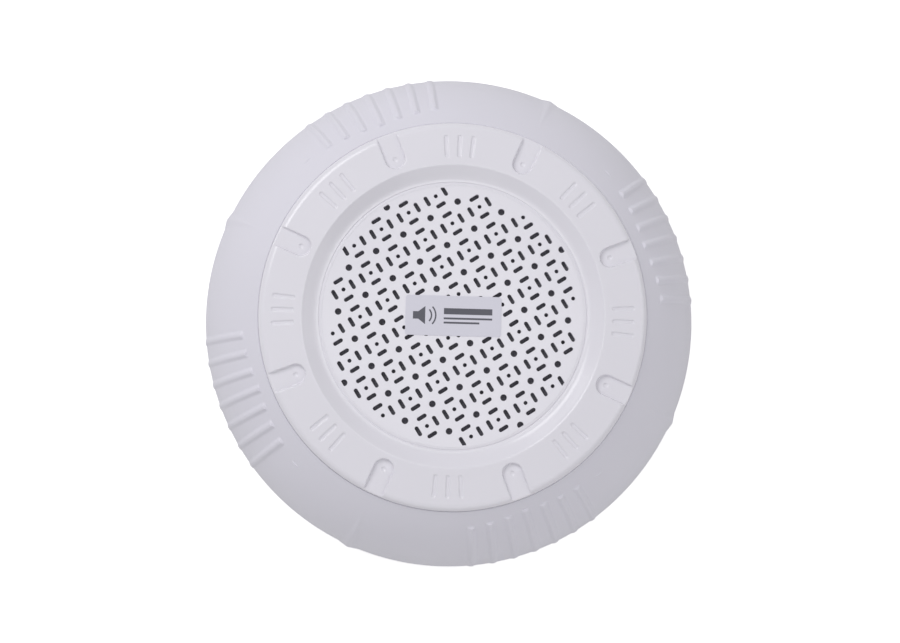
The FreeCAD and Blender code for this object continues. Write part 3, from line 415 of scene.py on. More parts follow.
def moulded_tree():
    """Moulded plastic or rubber: slow tone drift, fine eroded grain, dust, rubbed patches."""
    tree, given, out, where = surface_tree("moulded_skin", ("Grain", 0.0006), ("Dust", 0.02))
    slow = noise(where, 22, 3)
    specks = spread(noise(where, 900, 2, 0.7), 0.66, 0.74)
    dusty = calc("MULTIPLY", specks, given["Dust"])
    colour = blend(dusty, shaded(given["Tone"], slow, 0.04), (0.52, 0.50, 0.48, 1))
    rubbed = gloss(given, noise(where, 60, 4, 0.6))
    grain = noise(where, calc("DIVIDE", 1.0, given["Grain"]))
    return deliver(out, colour, calc("ADD", rubbed, calc("MULTIPLY", dusty, 1.5)),
                   calc("ADD", grain, calc("MULTIPLY", slow, 0.4)))


moulded = moulded_tree()


def surface(name, tree, tone, rough, bump=0.2, relief=0.03, edge=0.0, shader_values=(), **values):
    """Material on one of the surface groups; relief and edge softening are in mm."""
    material = bpy.data.materials.new(name)
    material.use_nodes = True
    own = material.node_tree
    shader = own.nodes["Principled BSDF"]
    for socket, value in dict(shader_values).items():
        shader.inputs[socket].default_value = value
    inputs = {"Tone": (*tone, 1), "Smooth": rough[0], "Rough": rough[1]}
    inputs.update({key.capitalize(): value for key, value in values.items()})
    skin = add(own, "ShaderNodeGroup", node_tree=tree)
    for socket, value in inputs.items():
        skin.inputs[socket].default_value = value
    bumped = add(own, "ShaderNodeBump", {"Strength": bump, "Distance": relief * mm,
                                         "Height": skin.outputs["Height"]})
    if edge:
        soft = add(own, "ShaderNodeBevel", {"Radius": edge * mm}, samples=4)
        own.links.new(soft.outputs["Normal"], bumped.inputs["Normal"])
    own.links.new(skin.outputs["Colour"], shader.inputs["Base Color"])
    own.links.new(skin.outputs["Roughness"], shader.inputs["Roughness"])
    own.links.new(bumped.outputs["Normal"], shader.inputs["Normal"])
    return material


satin_white = surface("satin_white_abs", moulded, (0.735, 0.72, 0.80), (0.34, 0.44), bump=0.22,
                      grain=0.00045)
link("dome_housing", dome_mesh(), satin_white, "housing", "outer_dome")

# ---- Front panel -------------------------------------------------------------------------
# The ring, the shallow cone and the perforated disc are one moulding of the same ABS, with
# a polished skin. Eight open recesses hide the screw bosses behind, and three plain bars
# are sunk into the ring between each pair of them.
disc_top = crest_height - 3.5
disc_bottom = disc_top - 2.2
disc_edge = 49.3
field_radius = 48.7
lattice_pitch = 12.0
lattice_angle = 31.55
cone_foot = 51.9
cone_top = 56.7
ring_fall = 1.2
panel_edge = seam_radius - 0.3
band = 3.2
recess_floor = crest_height - 2.0
recess_radius = 62.8
recess_half = 3.75
recess_tilt = 0.06
driver_screw_radius = 52.8
bar_radius = 63.8
bar_half_length = 4.4
bar_half_width = 0.85
bar_depth = 0.45
bar_spacing = 4.9
recess_angles = [first_angle + 45 * i for i in range(8)]
bar_angles = [angle + 22.5 + math.degrees(bar_spacing * i / bar_radius)
              for angle in recess_angles for i in (-1, 0, 1)]


def panel_height(radius, height, theta):
    """Height along one ring of the panel, with the recesses and bars sunk into it."""
    result = np.full_like(theta, height)
    for angle in bar_angles:
        turn = np.radians(from_angle(theta, angle))
        along = np.abs(radius * np.cos(turn) - bar_radius) - (bar_half_length - bar_half_width)
        gap = np.hypot(np.maximum(along, 0), radius * np.sin(turn)) - bar_half_width
        near = np.abs(turn) < 0.1
        result -= bar_depth * smoothstep(-gap / 0.4) * near
    for angle in recess_angles:
        turn = np.radians(from_angle(theta, angle))
        x, y = radius * np.cos(turn), radius * np.sin(turn)
        gap = np.where(x > recess_radius, np.abs(y), np.hypot(x - recess_radius, y)) - recess_half
        inside = smoothstep(0.5 - gap / 0.55) * (np.abs(turn) < 0.2)
        dimple = 0.4 * smoothstep((0.95 - np.hypot(x - recess_radius, y)) / 0.4)
        floor = recess_floor - recess_tilt * np.clip(x - recess_radius, 0, None)
        sunk = np.minimum(result, floor)
        result = result + (sunk - result) * inside - dimple * inside
    return result


def panel_mesh():
    outline = [(disc_edge, disc_top), (50.0, disc_top), (50.12, disc_top - 0.03),
               (50.25, disc_top - 0.22), (50.55, disc_top - 0.22), (50.68, disc_top - 0.03),
               (50.8, disc_top), (cone_foot - 0.6, disc_top), (cone_foot - 0.1, disc_top + 0.1)]
    rise = crest_height - disc_top
    outline += [(cone_foot + (cone_top - cone_foot) * s, disc_top + rise * s)
                for s in (0.1, 0.25, 0.5, 0.75, 0.9)]
    outline += [(cone_top - 0.2, crest_height - 0.12), (cone_top + 0.15, crest_height - 0.01)]
    flat_end = panel_edge - band
    for radius in np.arange(cone_top + 0.4, flat_end, 0.27):
        fall = ring_fall * (radius - cone_top) / (flat_end - cone_top)
        outline.append((radius, crest_height - fall))
    band_low = crest_height - ring_fall - band
    outline += [(flat_end + band * math.sin(t), band_low + band * math.cos(t))
                for t in np.linspace(0.06, math.pi / 2, 13)]
    zones = [(angle, 4.2, 0.2) for angle in recess_angles]
    zones += [(angle, 1.2, 0.2) for angle in bar_angles]
    columns = closer_columns(zones, 1.5)
    theta = np.degrees(columns)
    rows = [(radius, panel_height(radius, height, theta) if radius > cone_top else height)
            for radius, height in outline]
    inner = panel_edge - 2.2
    under = disc_top - disc_bottom
    rows += [(panel_edge, ledge_height + 0.2), (panel_edge - 0.2, ledge_height),
             (inner + 0.2, ledge_height), (inner, ledge_height + 0.2), (inner, band_low - 0.6),
             (flat_end - 0.6, recess_floor - under), (cone_top + 1.2, recess_floor - under),
             (cone_foot + 1.2, disc_bottom), (disc_edge, disc_bottom)]
    points = ring_points(rows, columns)
    faces = grid_faces(len(rows), len(columns))
    top = recess_floor - 0.6
    add_posts(points, faces, around(recess_radius, first_angle, 8),
              [(pilot, top), (3.5, top), (3.5, ledge_height), (pilot, ledge_height)])
    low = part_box("speaker_gasket")[0].z / mm
    add_posts(points, faces, around(driver_screw_radius, first_angle + 22.5, 4),
              [(pilot, disc_bottom + 0.6), (3.0, disc_bottom + 0.6), (3.0, low), (pilot, low)])
    return mesh_from("panel_ring", points, faces)


def vector(tree, x=0.0, y=0.0, z=0.0):
    return put(tree, "ShaderNodeCombineXYZ", {0: x, 1: y, 2: z})


def joined(parts):
    join = add(tree_of(*parts), "GeometryNodeJoinGeometry")
    for part in parts:
        join.id_data.links.new(part, join.inputs[0])
    return join.outputs[0]


def moved(geometry, offset=(0.0, 0.0, 0.0), turn=(0.0, 0.0, 0.0)):
    return put(tree_of(geometry), "GeometryNodeTransform",
               {"Geometry": geometry, "Translation": offset, "Rotation": turn})


def circle(points, radius):
    return put(tree_of(radius), "GeometryNodeCurvePrimitiveCircle",
               {"Resolution": points, "Radius": radius}, mode="RADIUS")


def rounded(width, height, points, radius):
    """Rectangle with its corners rounded by a number of points."""
    tree = tree_of(width)
    outline = put(tree, "GeometryNodeCurvePrimitiveQuadrilateral", {"Width": width, "Height": height})
    return put(tree, "GeometryNodeFilletCurve", {"Curve": outline, "Count": points, "Radius": radius},
               mode="POLY")


def shape_tree(name, *given):
    """Geometry tree with its sizes and its material in, and one mesh out."""
    return new_tree(name, "GeometryNodeTree", [*given, ("Material", "Material", None)],
                    [("Mesh", "Geometry")])


def grille_tree():
    """Perforated disc: hole outlines on a turned square lattice, cut from a filled circle."""
    tree, given, out = shape_tree(
        "perforated_disc", ("Disc radius", 0.0493), ("Field radius", 0.0487), ("Pitch", 0.012),
        ("Lattice angle", 0.5), ("Slot length", 0.004), ("Slot width", 0.0015), ("Slot offset", 0.0038),
        ("Large hole radius", 0.00125), ("Small hole radius", 0.00075), ("Top", 0.0585),
        ("Thickness", 0.0022))
    cells = 11
    field, width = given["Field radius"], given["Slot width"]
    half = calc("MULTIPLY", given["Pitch"], 0.5)
    side = calc("MULTIPLY", given["Pitch"], float(cells - 1))
    lattice = add(tree, "GeometryNodeMeshGrid", {"Size X": side, "Size Y": side, "Vertices X": cells,
                                                 "Vertices Y": cells}).outputs["Mesh"]
    place = put(tree, "GeometryNodeInputPosition")
    away = add(tree, "ShaderNodeVectorMath", {0: place}, operation="LENGTH").outputs["Value"]

    def holes(outline, x, y, room=0.0, turn=0.0):
        """The outline at every lattice point, moved by x and y, that has room in the field."""
        points = add(tree, "GeometryNodeSetPosition", {"Geometry": lattice, "Offset": vector(tree, x, y)})
        near = put(tree, "FunctionNodeCompare", {0: away, 1: calc("SUBTRACT", field, room)},
                   data_type="FLOAT", operation="LESS_THAN")
        return put(tree, "GeometryNodeInstanceOnPoints",
                   {"Points": points.outputs[0], "Instance": outline, "Selection": near,
                    "Rotation": (0.0, 0.0, turn)})

    slot = rounded(given["Slot length"], width, 6, calc("MULTIPLY", width, 0.499))
    offsets = [calc(way, half, given["Slot offset"]) for way in ("ADD", "SUBTRACT")]
    half_length = calc("MULTIPLY", given["Slot length"], 0.5)
    half_width = calc("MULTIPLY", width, 0.5)
    cuts = [holes(circle(20, given["Large hole radius"]), 0.0, 0.0),
            holes(circle(20, given["Small hole radius"]), half, half)]
    cuts += [holes(slot, half, y, half_length) for y in offsets]
    cuts += [holes(slot, x, half, half_width, math.pi / 2) for x in offsets]
    turned = moved(joined(cuts), turn=vector(tree, z=given["Lattice angle"]))
    outlines = put(tree, "GeometryNodeRealizeInstances", {"Geometry": turned})
    share = calc("MINIMUM", calc("DIVIDE", field, away), 1.0)
    pulled = put(tree, "ShaderNodeVectorMath", {0: place, "Scale": share}, operation="SCALE")
    clipped = put(tree, "GeometryNodeSetPosition", {"Geometry": outlines, "Position": pulled})
    flat = joined([clipped, circle(180, given["Disc radius"])])
    filled = put(tree, "GeometryNodeFillCurve", {"Curve": flat})
    filled = moved(filled, vector(tree, z=given["Top"]))
    deeper = add(tree, "GeometryNodeExtrudeMesh", {
        "Mesh": filled, "Offset": vector(tree, z=-1.0), "Offset Scale": given["Thickness"],
        "Individual": False}).outputs["Mesh"]
    welded = put(tree, "GeometryNodeMergeByDistance", {"Geometry": joined([filled, deeper]),
                                                       "Distance": 0.000002})
    return end_tree(tree, welded, given, out)


def end_tree(tree, geometry, given, out):
    """Ends a geometry tree: real meshes, smooth shading and the material."""
    real = put(tree, "GeometryNodeRealizeInstances", {"Geometry": geometry})
    smooth = put(tree, "GeometryNodeSetShadeSmooth", {"Geometry": real})
    dressed = put(tree, "GeometryNodeSetMaterial", {"Geometry": smooth, "Material": given["Material"]})
    tree.links.new(dressed, out.inputs[0])
    return tree


def grown(name, tree, material, places=((0, 0, 0),), **values):
    """Runs a geometry tree on points and returns what it makes as a plain mesh."""
    seed = bpy.data.meshes.new(name + "_places")
    seed.from_pydata([tuple(c * mm for c in p) for p in places], [], [])
    holder = bpy.data.objects.new(name + "_places", seed)
    bpy.context.scene.collection.objects.link(holder)
    modifier = holder.modifiers.new("grow", "NODES")
    modifier.node_group = tree
    values["Material"] = material
    for item in tree.interface.items_tree:
        label = item.name.replace(" ", "_")
        if item.in_out == "INPUT" and label in values:
            modifier[item.identifier] = values[label]
    bpy.context.view_layer.update()
    ready = holder.evaluated_get(bpy.context.evaluated_depsgraph_get())
    mesh = bpy.data.meshes.new_from_object(ready)
    holder.modifiers.remove(modifier)
    bpy.data.objects.remove(holder)
    mesh.name = name
    return mesh


polished_white = surface("polished_white_abs", moulded, (0.78, 0.765, 0.83), (0.16, 0.22), bump=0.10,
                         grain=0.0012, dust=0.015, edge=0.15)
link("panel_ring", panel_mesh(), polished_white, "housing", "front_panel", edges=50)
disc = grown("perforated_disc", grille_tree(), polished_white, Disc_radius=disc_edge * mm,
             Field_radius=field_radius * mm, Pitch=lattice_pitch * mm,
             Lattice_angle=math.radians(lattice_angle), Top=disc_top * mm,
             Thickness=(disc_top - disc_bottom) * mm)
link("perforated_disc", outward(disc), polished_white, "housing", "front_panel", edges=30)

# ---- Label -------------------------------------------------------------------------------
# A small printed film stuck on the disc, a little crooked. Its print is a plain loudspeaker
# sign with three rules beside it.
label_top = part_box("front_label")[1].z / mm
ink_lift = 0.03
ink_sink = 0.005
label_turn = math.radians(-1.5)
sign = [[(-15.2, -1.4), (-13.2, -1.4), (-10.6, -3.4), (-10.6, 3.4), (-13.2, 1.4), (-15.2, 1.4)]]
sign += [[(-9.4 + a[0], a[1]) for a in arc] for arc in (
    [(r * math.cos(t) - 2.0, r * math.sin(t)) for t in np.linspace(-0.75, 0.75, 9)]
    + [((r + 0.55) * math.cos(t) - 2.0, (r + 0.55) * math.sin(t)) for t in np.linspace(0.75, -0.75, 9)]
    for r in (2.9, 4.5))]
sign += [[(x0, y - h), (x1, y - h), (x1, y + h), (x0, y + h)]
         for x0, x1, y, h in ((-3.6, 14.6, 1.7, 1.15), (-3.6, 14.6, -1.0, 0.35), (-3.6, 9.8, -2.6, 0.35))]


def dress(name, material):
    """Gives a carried-over node its material."""
    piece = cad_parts[name]
    piece.data.materials.clear()
    piece.data.materials.append(material)
    return piece


def print_mesh(outlines, height):
    """Ink as thin plates, turned like the label under them."""
    points, faces = [], []
    for outline in outlines:
        start, count = len(points), len(outline)
        for z in (height, height + ink_lift):
            for x, y in outline:
                points.append(((x * math.cos(label_turn) - y * math.sin(label_turn)) * mm,
                               (x * math.sin(label_turn) + y * math.cos(label_turn)) * mm, z * mm))
        faces.append(tuple(range(start + count - 1, start - 1, -1)))
        faces.append(tuple(range(start + count, start + 2 * count)))
        faces += [(start + i, start + (i + 1) % count, start + count + (i + 1) % count,
                   start + count + i) for i in range(count)]
    return mesh_from("label_print", points, faces)


dress("front_label", surface("label_film", moulded, (0.66, 0.65, 0.74), (0.28, 0.36), bump=0.12,
                             grain=0.0015, dust=0.01, edge=0.05))
ink = surface("grey_ink", moulded, (0.10, 0.10, 0.125), (0.35, 0.5), bump=0.1, grain=0.0002)
label_print = link("label_print", print_mesh(sign, label_top - ink_sink), ink, "housing", edges=30)

# ---- Grille cloth and gasket -------------------------------------------------------------
# Black acoustic cloth is glued behind the disc; the driver's flange presses on it through a
# ring of closed-cell foam, cut from sheet.
def woven_tree():
    """Plain weave: two crossed sets of threads with dark gaps and uneven yarn."""
    tree, given, out, where = surface_tree("plain_weave", ("Thread", 0.0004))
    wobble = noise(where, 120, 2)
    at = add(tree, "ShaderNodeSeparateXYZ", {0: where}).outputs
    rate = calc("DIVIDE", math.pi, given["Thread"])
    waves = []
    for axis in (0, 1):
        phase = calc("ADD", calc("MULTIPLY", at[axis], rate), wobble)
        waves.append(calc("SINE", phase))
    over = calc("MULTIPLY", waves[0], waves[1])
    threads = calc("MAXIMUM", calc("ABSOLUTE", waves[0]), calc("ABSOLUTE", waves[1]))
    gap = spread(threads, 0.35, 0.75)
    yarn = shaded(given["Tone"], noise(where, 2500, 3, 0.7), 0.7)
    colour = blend(gap, (0.004, 0.004, 0.004, 1), yarn)
    rough = gloss(given, noise(where, 400), 0.2, 0.8)
    return deliver(out, colour, rough, calc("MULTIPLY_ADD", over, 0.3))


woven = woven_tree()
dress("grille_cloth", surface("black_cloth", woven, (0.115, 0.112, 0.128), (0.75, 0.95), bump=0.6,
                              relief=0.1, thread=0.0006, shader_values={"Sheen Weight": 0.25}))


def foam_tree():
    """Closed-cell foam: small burst cells over a dull cut face."""
    tree, given, out, where = surface_tree("cut_foam", ("Cell", 0.0005))
    scale = calc("DIVIDE", 1.0, given["Cell"])
    cells = add(tree, "ShaderNodeTexVoronoi", {"Vector": where, "Scale": scale}).outputs["Distance"]
    colour = blend(spread(cells, 0.0, 0.6), shaded(given["Tone"], cells, 0.4), given["Tone"])
    rough = gloss(given, cells, 0.0, 0.7)
    return deliver(out, colour, rough, cells)


foam = foam_tree()
dress("speaker_gasket", surface("gasket_foam", foam, (0.05, 0.05, 0.052), (0.8, 0.95), bump=0.5,
                                relief=0.1))

# ---- Driver basket and motor -------------------------------------------------------------
# The basket is pressed from sheet steel and painted black. Behind it a ground ferrite ring
# is glued between a zinc-plated top plate and a yoke with a turned pole.
painted = surface("black_basket_paint", moulded, (0.035, 0.035, 0.038), (0.38, 0.55), bump=0.35,
                  grain=0.0009, dust=0.08, edge=0.2)
dress("driver_basket", painted)


def plated_tree():
    """Zinc-plated steel: clouded plating, fine turning marks and dull spots."""
    tree, given, out, where = surface_tree("zinc_plate", ("Marks", 9000.0))
    cloud = noise(where, 90, 4, 0.6)
    spots = spread(noise(where, 420, 3, 0.7), 0.6, 0.72)
    at = add(tree, "ShaderNodeSeparateXYZ", {0: where}).outputs
    radius = calc("SQRT", calc("ADD", calc("MULTIPLY", at[0], at[0]), calc("MULTIPLY", at[1], at[1])))
    marks = calc("SINE", calc("MULTIPLY", radius, given["Marks"]))
    colour = shaded(given["Tone"], cloud, 0.35)
    colour = blend(calc("MULTIPLY", spots, 0.45), colour, (0.34, 0.33, 0.31, 1))
    rough = calc("ADD", gloss(given, cloud), calc("MULTIPLY", spots, 0.15))
    return deliver(out, colour, rough, calc("MULTIPLY_ADD", marks, 0.2))


plated = plated_tree()
zinc = surface("zinc_plated_steel", plated, (0.60, 0.60, 0.60), (0.26, 0.42), bump=0.15, relief=0.02,
               edge=0.2, shader_values={"Metallic": 1.0})
dress("top_plate", zinc)
dress("pole_yoke", zinc)


def ferrite_tree():
    """Ground ferrite: dark, with crystal grain, chipped pits and a dusty bloom."""
    tree, given, out, where = surface_tree("ground_ferrite")
    grain = noise(where, 1400, 3, 0.8)
    pits = add(tree, "ShaderNodeTexVoronoi", {"Vector": where, "Scale": 260.0}).outputs["Distance"]
    pitted = spread(pits, 0.05, 0.14)
    bloom = spread(noise(where, 45, 4), 0.4, 0.75)
    colour = blend(calc("MULTIPLY", bloom, 0.35), shaded(given["Tone"], grain, 0.8),
                   (0.16, 0.155, 0.15, 1))
    rough = gloss(given, grain, 0.2, 0.8)
    return deliver(out, colour, rough, calc("ADD", pitted, calc("MULTIPLY", grain, 0.3)))


dress("magnet_ring", surface("ground_ferrite", ferrite_tree(), (0.055, 0.055, 0.058), (0.55, 0.8),
                             bump=0.5, relief=0.08, edge=0.35))

# ---- Cone, surround, dust cap and spider -------------------------------------------------
# The cone and its cap are felted paper, dyed black. A thin rubber half-roll holds the cone's
# edge, and a corrugated disc of resin-dipped cloth centres its neck.
def pulp_tree():
    """Felted paper: matted fibres, flecks and slow density clouds."""
    tree, given, out, where = surface_tree("paper_pulp")
    bent = add(tree, "ShaderNodeVectorMath", {0: where, 1: add(
        tree, "ShaderNodeTexNoise", {"Vector": where, "Scale": 150.0}).outputs["Color"], 2: (
            0.004, 0.004, 0.004)}, operation="MULTIPLY_ADD")
    fibres = noise(where, 700, 6, 0.85)
    cloud = noise(where, 70, 3)
    fleck = spread(noise(bent.outputs[0], 1600, 2), 0.62, 0.7)
    colour = shaded(shaded(given["Tone"], fibres, 0.7), cloud, 0.3)
    colour = blend(calc("MULTIPLY", fleck, 0.5), colour, (0.22, 0.21, 0.20, 1))
    rough = gloss(given, fibres)
    return deliver(out, colour, rough, fibres)


paper = surface("black_cone_paper", pulp_tree(), (0.075, 0.075, 0.08), (0.75, 0.95), bump=0.6,
                relief=0.12, shader_values={"Sheen Weight": 0.2})
dress("speaker_cone", paper)
dress("dust_cap", paper)
dress("cone_surround", surface("surround_rubber", moulded, (0.025, 0.025, 0.027), (0.45, 0.62),
                               bump=0.3, grain=0.0004, dust=0.1))
dress("spider", surface("resin_dipped_cloth", woven, (0.50, 0.36, 0.17), (0.5, 0.75), bump=0.7,
                        relief=0.12, thread=0.0007))

# ---- Voice coil --------------------------------------------------------------------------
# One layer of enamelled copper wire is wound turn by turn on an aluminium foil former.
def stacked(given, item, count, ends, across):
    """The item repeated from end to end, each one drawn in across the stack by a random hair."""
    tree = tree_of(item)
    line = put(tree, "GeometryNodeMeshLine", {"Count": count, "Start Location": ends[0],
                                              "Offset": ends[1]}, mode="END_POINTS")
    low = calc("SUBTRACT", 1.0, given["Unevenness"])
    size = add(tree, "FunctionNodeRandomValue", {2: low, 3: 1.0, "Seed": given["Seed"]},
               data_type="FLOAT").outputs[1]
    scale = vector(tree, *(size if axis in across else 1.0 for axis in "XYZ"))
    return put(tree, "GeometryNodeInstanceOnPoints", {"Points": line, "Instance": item, "Scale": scale})


def turns_tree():
    """Stacked turns of wire round a rounded rectangle, each one settled a little differently."""
    tree, given, out = shape_tree(
        "wire_turns", ("Width", 0.02), ("Depth", 0.02), ("Corner", 0.002), ("Wire radius", 0.0002),
        ("Bottom", 0.0), ("Top", 0.01), ("Centre", "Vector", None), ("Turns", "Int", 10),
        ("Corner points", "Int", 8), ("Unevenness", 0.00005), ("Seed", "Int", 4))
    turn = rounded(given["Width"], given["Depth"], given["Corner points"], given["Corner"])
    ends = [vector(tree, z=given[end]) for end in ("Bottom", "Top")]
    stack = stacked(given, turn, given["Turns"], ends, "XY")
    stack = put(tree, "GeometryNodeRealizeInstances", {"Geometry": stack})
    wire = circle(8, given["Wire radius"])
    tubes = put(tree, "GeometryNodeCurveToMesh", {"Curve": stack, "Profile Curve": wire})
    return end_tree(tree, moved(tubes, given["Centre"]), given, out)


def enamel_tree():
    """Enamelled wire: clear brown coat, darker where the heat got to it."""
    tree, given, out, where = surface_tree("wire_enamel")
    heat = noise(where, 130, 4, 0.6)
    fine = noise(where, 2600, 2)
    colour = blend(spread(heat, 0.45, 0.75), given["Tone"], (0.30, 0.10, 0.035, 1))
    rough = gloss(given, fine)
    return deliver(out, shaded(colour, fine, 0.2), rough, fine)


turns = turns_tree()
enamel = enamel_tree()
copper = surface("enamelled_copper", enamel, (0.62, 0.25, 0.11), (0.2, 0.38), bump=0.1, relief=0.01,
                 shader_values={"Metallic": 0.85, "Coat Weight": 0.5})


def wound(name, node, body, wire, corner, unevenness, core, points=8):
    """Turns of wire over the outside of a winding, with the winding's inner layers behind."""
    low, high = (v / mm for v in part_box(node))
    mesh = grown(name, turns, copper, Width=(high.x - low.x - 2 * wire) * mm,
                 Depth=(high.y - low.y - 2 * wire) * mm, Corner=corner * mm, Wire_radius=wire * mm,
                 Bottom=(low.z + wire) * mm, Top=(high.z - wire) * mm,
                 Turns=int((high.z - low.z) / (2 * wire)),
                 Centre=((low.x + high.x) / 2 * mm, (low.y + high.y) / 2 * mm, 0.0),
                 Corner_points=points, Unevenness=unevenness)
    outer, inner = core(low, high)
    foot, head = low.z + 0.05, high.z - 0.05
    work = bmesh.new()
    work.from_mesh(mesh)
    corners = [work.verts.new((x * mm, y * mm, z * mm))
               for outline, z in ((outer, foot), (inner, foot), (inner, head), (outer, head))
               for x, y in outline]
    for face in grid_faces(4, len(outer)):
        work.faces.new([corners[i] for i in face])
    work.to_mesh(mesh)
    work.free()
    return link(name, outward(mesh), copper, body, node, edges=50)


def coil_core(low, high):
    outer = high.x - 0.15
    return [[(r * math.cos(t), r * math.sin(t)) for t in np.linspace(0, math.tau, 48, endpoint=False)]
            for r in (outer, outer - 0.4)]


dress("voice_coil_former", surface("former_foil", plated, (0.72, 0.72, 0.73), (0.22, 0.35), bump=0.1,
                                   relief=0.02, shader_values={"Metallic": 1.0}))
wound("voice_coil_turns", "voice_coil_winding", "cone", 0.15, 13.1, 0.001, coil_core, points=14)

# ---- Transformer -------------------------------------------------------------------------
# Varnished laminations are stacked through a nylon bobbin with layers of enamelled wire. A
# folded steel strap holds the stack down on two low pads.
core_low, core_high = (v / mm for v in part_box("transformer_core"))
leg = 5.0
sheet = 0.5


def laminations_tree():
    """Stack of sheet pieces along Y, each drawn in from its outline by a random hair."""
    tree, given, out = shape_tree(
        "laminations", ("Length", 0.03), ("Height", 0.022), ("Leg", 0.005), ("Start", "Vector", None),
        ("End", "Vector", None), ("Sheets", "Int", 24), ("Sheet", 0.0005), ("Unevenness", 0.006),
        ("Seed", "Int", 7))
    length, height, limb = given["Length"], given["Height"], given["Leg"]
    thin = calc("MULTIPLY", given["Sheet"], 0.86)
    half_leg = calc("MULTIPLY", limb, 0.5)
    wide_leg = calc("MULTIPLY", limb, 2.0)
    up, aside = (calc("SUBTRACT", calc("MULTIPLY", whole, 0.5), half_leg)
                 for whole in (height, length))
    bars = []
    for way in (1.0, -1.0):
        bars.append((vector(tree, length, thin, limb), vector(tree, z=calc("MULTIPLY", up, way))))
        bars.append((vector(tree, limb, thin, height), vector(tree, calc("MULTIPLY", aside, way))))
    bars.append((vector(tree, wide_leg, thin, height), vector(tree)))
    plate = joined([moved(put(tree, "GeometryNodeMeshCube", {"Size": size}), place)
                    for size, place in bars])
    stack = stacked(given, plate, given["Sheets"], (given["Start"], given["End"]), "XZ")
    return end_tree(tree, stack, given, out)


core_steel = surface("varnished_laminations", plated, (0.26, 0.255, 0.25), (0.3, 0.5), bump=0.1,
                     relief=0.02, edge=0.05, shader_values={"Metallic": 0.9})
middle = (core_low + core_high) / 2
core_mesh = grown("transformer_laminations", laminations_tree(), core_steel,
                  Length=(core_high.x - core_low.x) * mm, Height=(core_high.z - core_low.z) * mm,
                  Leg=leg * mm, Sheet=sheet * mm, Sheets=int((core_high.y - core_low.y) / sheet),
                  Start=(0.0, (core_low.y + sheet / 2) * mm, middle.z * mm),
                  End=(0.0, (core_high.y - sheet / 2) * mm, middle.z * mm))
link("transformer_laminations", core_mesh, core_steel, "housing", "transformer_core", edges=30)
dress("transformer_bobbin", surface("natural_nylon", moulded, (0.66, 0.62, 0.50), (0.3, 0.45), bump=0.15,
                                    edge=0.15, shader_values={"Subsurface Weight": 0.15,
                                                              "Subsurface Scale": 0.001}))


def bobbin_core(low, high):
    cx, cy = (low.x + high.x) / 2, (low.y + high.y) / 2
    outer = ((high.x - low.x) / 2 - 0.3, (high.y - low.y) / 2 - 0.3)
    hole = (leg + 1.25, (core_high.y - core_low.y) / 2 + 1.25)
    return [[(cx + sx * x, cy + sy * y) for sx, sy in ((-1, -1), (1, -1), (1, 1), (-1, 1))]
            for x, y in (outer, hole)]


wound("transformer_turns", "transformer_windings", "housing", 0.25, 1.6, 0.012, bobbin_core, points=6)
dress("transformer_strap", zinc)

# ---- Filter board ------------------------------------------------------------------------
# A small green board on two standoffs carries the blocking capacitor, in its shrunk sleeve,
# and a ceramic thermal fuse.
def laminate_tree():
    """Solder-masked board: raised tracks under the mask and a faint weave."""
    tree, given, out, where = surface_tree("masked_board")
    tracks = add(tree, "ShaderNodeTexBrick", {"Vector": where, "Scale": 210.0, "Mortar Size": 0.07,
                                              "Mortar Smooth": 0.3, "Brick Width": 1.3,
                                              "Row Height": 0.55}).outputs["Fac"]
    fibre = noise(where, 1300, 3)
    colour = blend(tracks, given["Tone"], (0.10, 0.42, 0.17, 1))
    rough = gloss(given, fibre, 0.2, 0.8)
    return deliver(out, shaded(colour, fibre, 0.35), rough, tracks)


dress("filter_board", surface("green_board", laminate_tree(), (0.02, 0.16, 0.055), (0.2, 0.38),
                              bump=0.35, relief=0.05, edge=0.08))


def sleeve_tree():
    """Shrunk sleeve: glossy, with a pale polarity stripe along the top and shrink ripples."""
    tree, given, out, where = surface_tree("shrunk_sleeve", ("Stripe from", 0.0305))
    height = add(tree, "ShaderNodeSeparateXYZ", {0: where}).outputs[2]
    stripe = spread(height, calc("SUBTRACT", given["Stripe from"], 0.0002), given["Stripe from"])
    long_way = put(tree, "ShaderNodeMapping", {"Vector": where, "Scale": (6.0, 1.0, 1.0)})
    ripple = noise(long_way, 160, 3)
    colour = blend(stripe, shaded(given["Tone"], ripple, 0.3), (0.42, 0.45, 0.48, 1))
    rough = gloss(given, ripple)
    return deliver(out, colour, rough, ripple)


dress("blocking_capacitor", surface("capacitor_sleeve", sleeve_tree(), (0.03, 0.05, 0.13), (0.16, 0.3),
                                    bump=0.2, relief=0.05, edge=0.3))
dress("thermal_fuse", surface("fuse_ceramic", moulded, (0.66, 0.60, 0.48), (0.25, 0.45), bump=0.3,
                              grain=0.0003, dust=0.12, edge=0.4))

# ---- Terminals and tags ------------------------------------------------------------------
# The supply ends in a moulded terminal block with brass clamp sleeves; the driver's leads
# are soldered to tinned tags on a board of brown phenolic paper.
dress("terminal_block", surface("terminal_plastic", moulded, (0.085, 0.085, 0.09), (0.4, 0.55), bump=0.3,
                                grain=0.0005, dust=0.06, edge=0.2))
brass = surface("tinned_brass", plated, (0.66, 0.53, 0.30), (0.22, 0.4), bump=0.1, relief=0.02,
                edge=0.08, shader_values={"Metallic": 1.0})
dress("terminal_clamps", brass)
dress("driver_terminals", brass)


def phenolic_tree():
    """Phenolic paper: pressed fibre layers in brown resin."""
    tree, given, out, where = surface_tree("phenolic_paper")
    layers = put(tree, "ShaderNodeMapping", {"Vector": where, "Scale": (1.0, 9.0, 1.0)})
    fibre = noise(layers, 380, 5, 0.75)
    colour = blend(spread(fibre, 0.4, 0.7), given["Tone"], (0.15, 0.06, 0.02, 1))
    rough = gloss(given, fibre)
    return deliver(out, colour, rough, fibre)


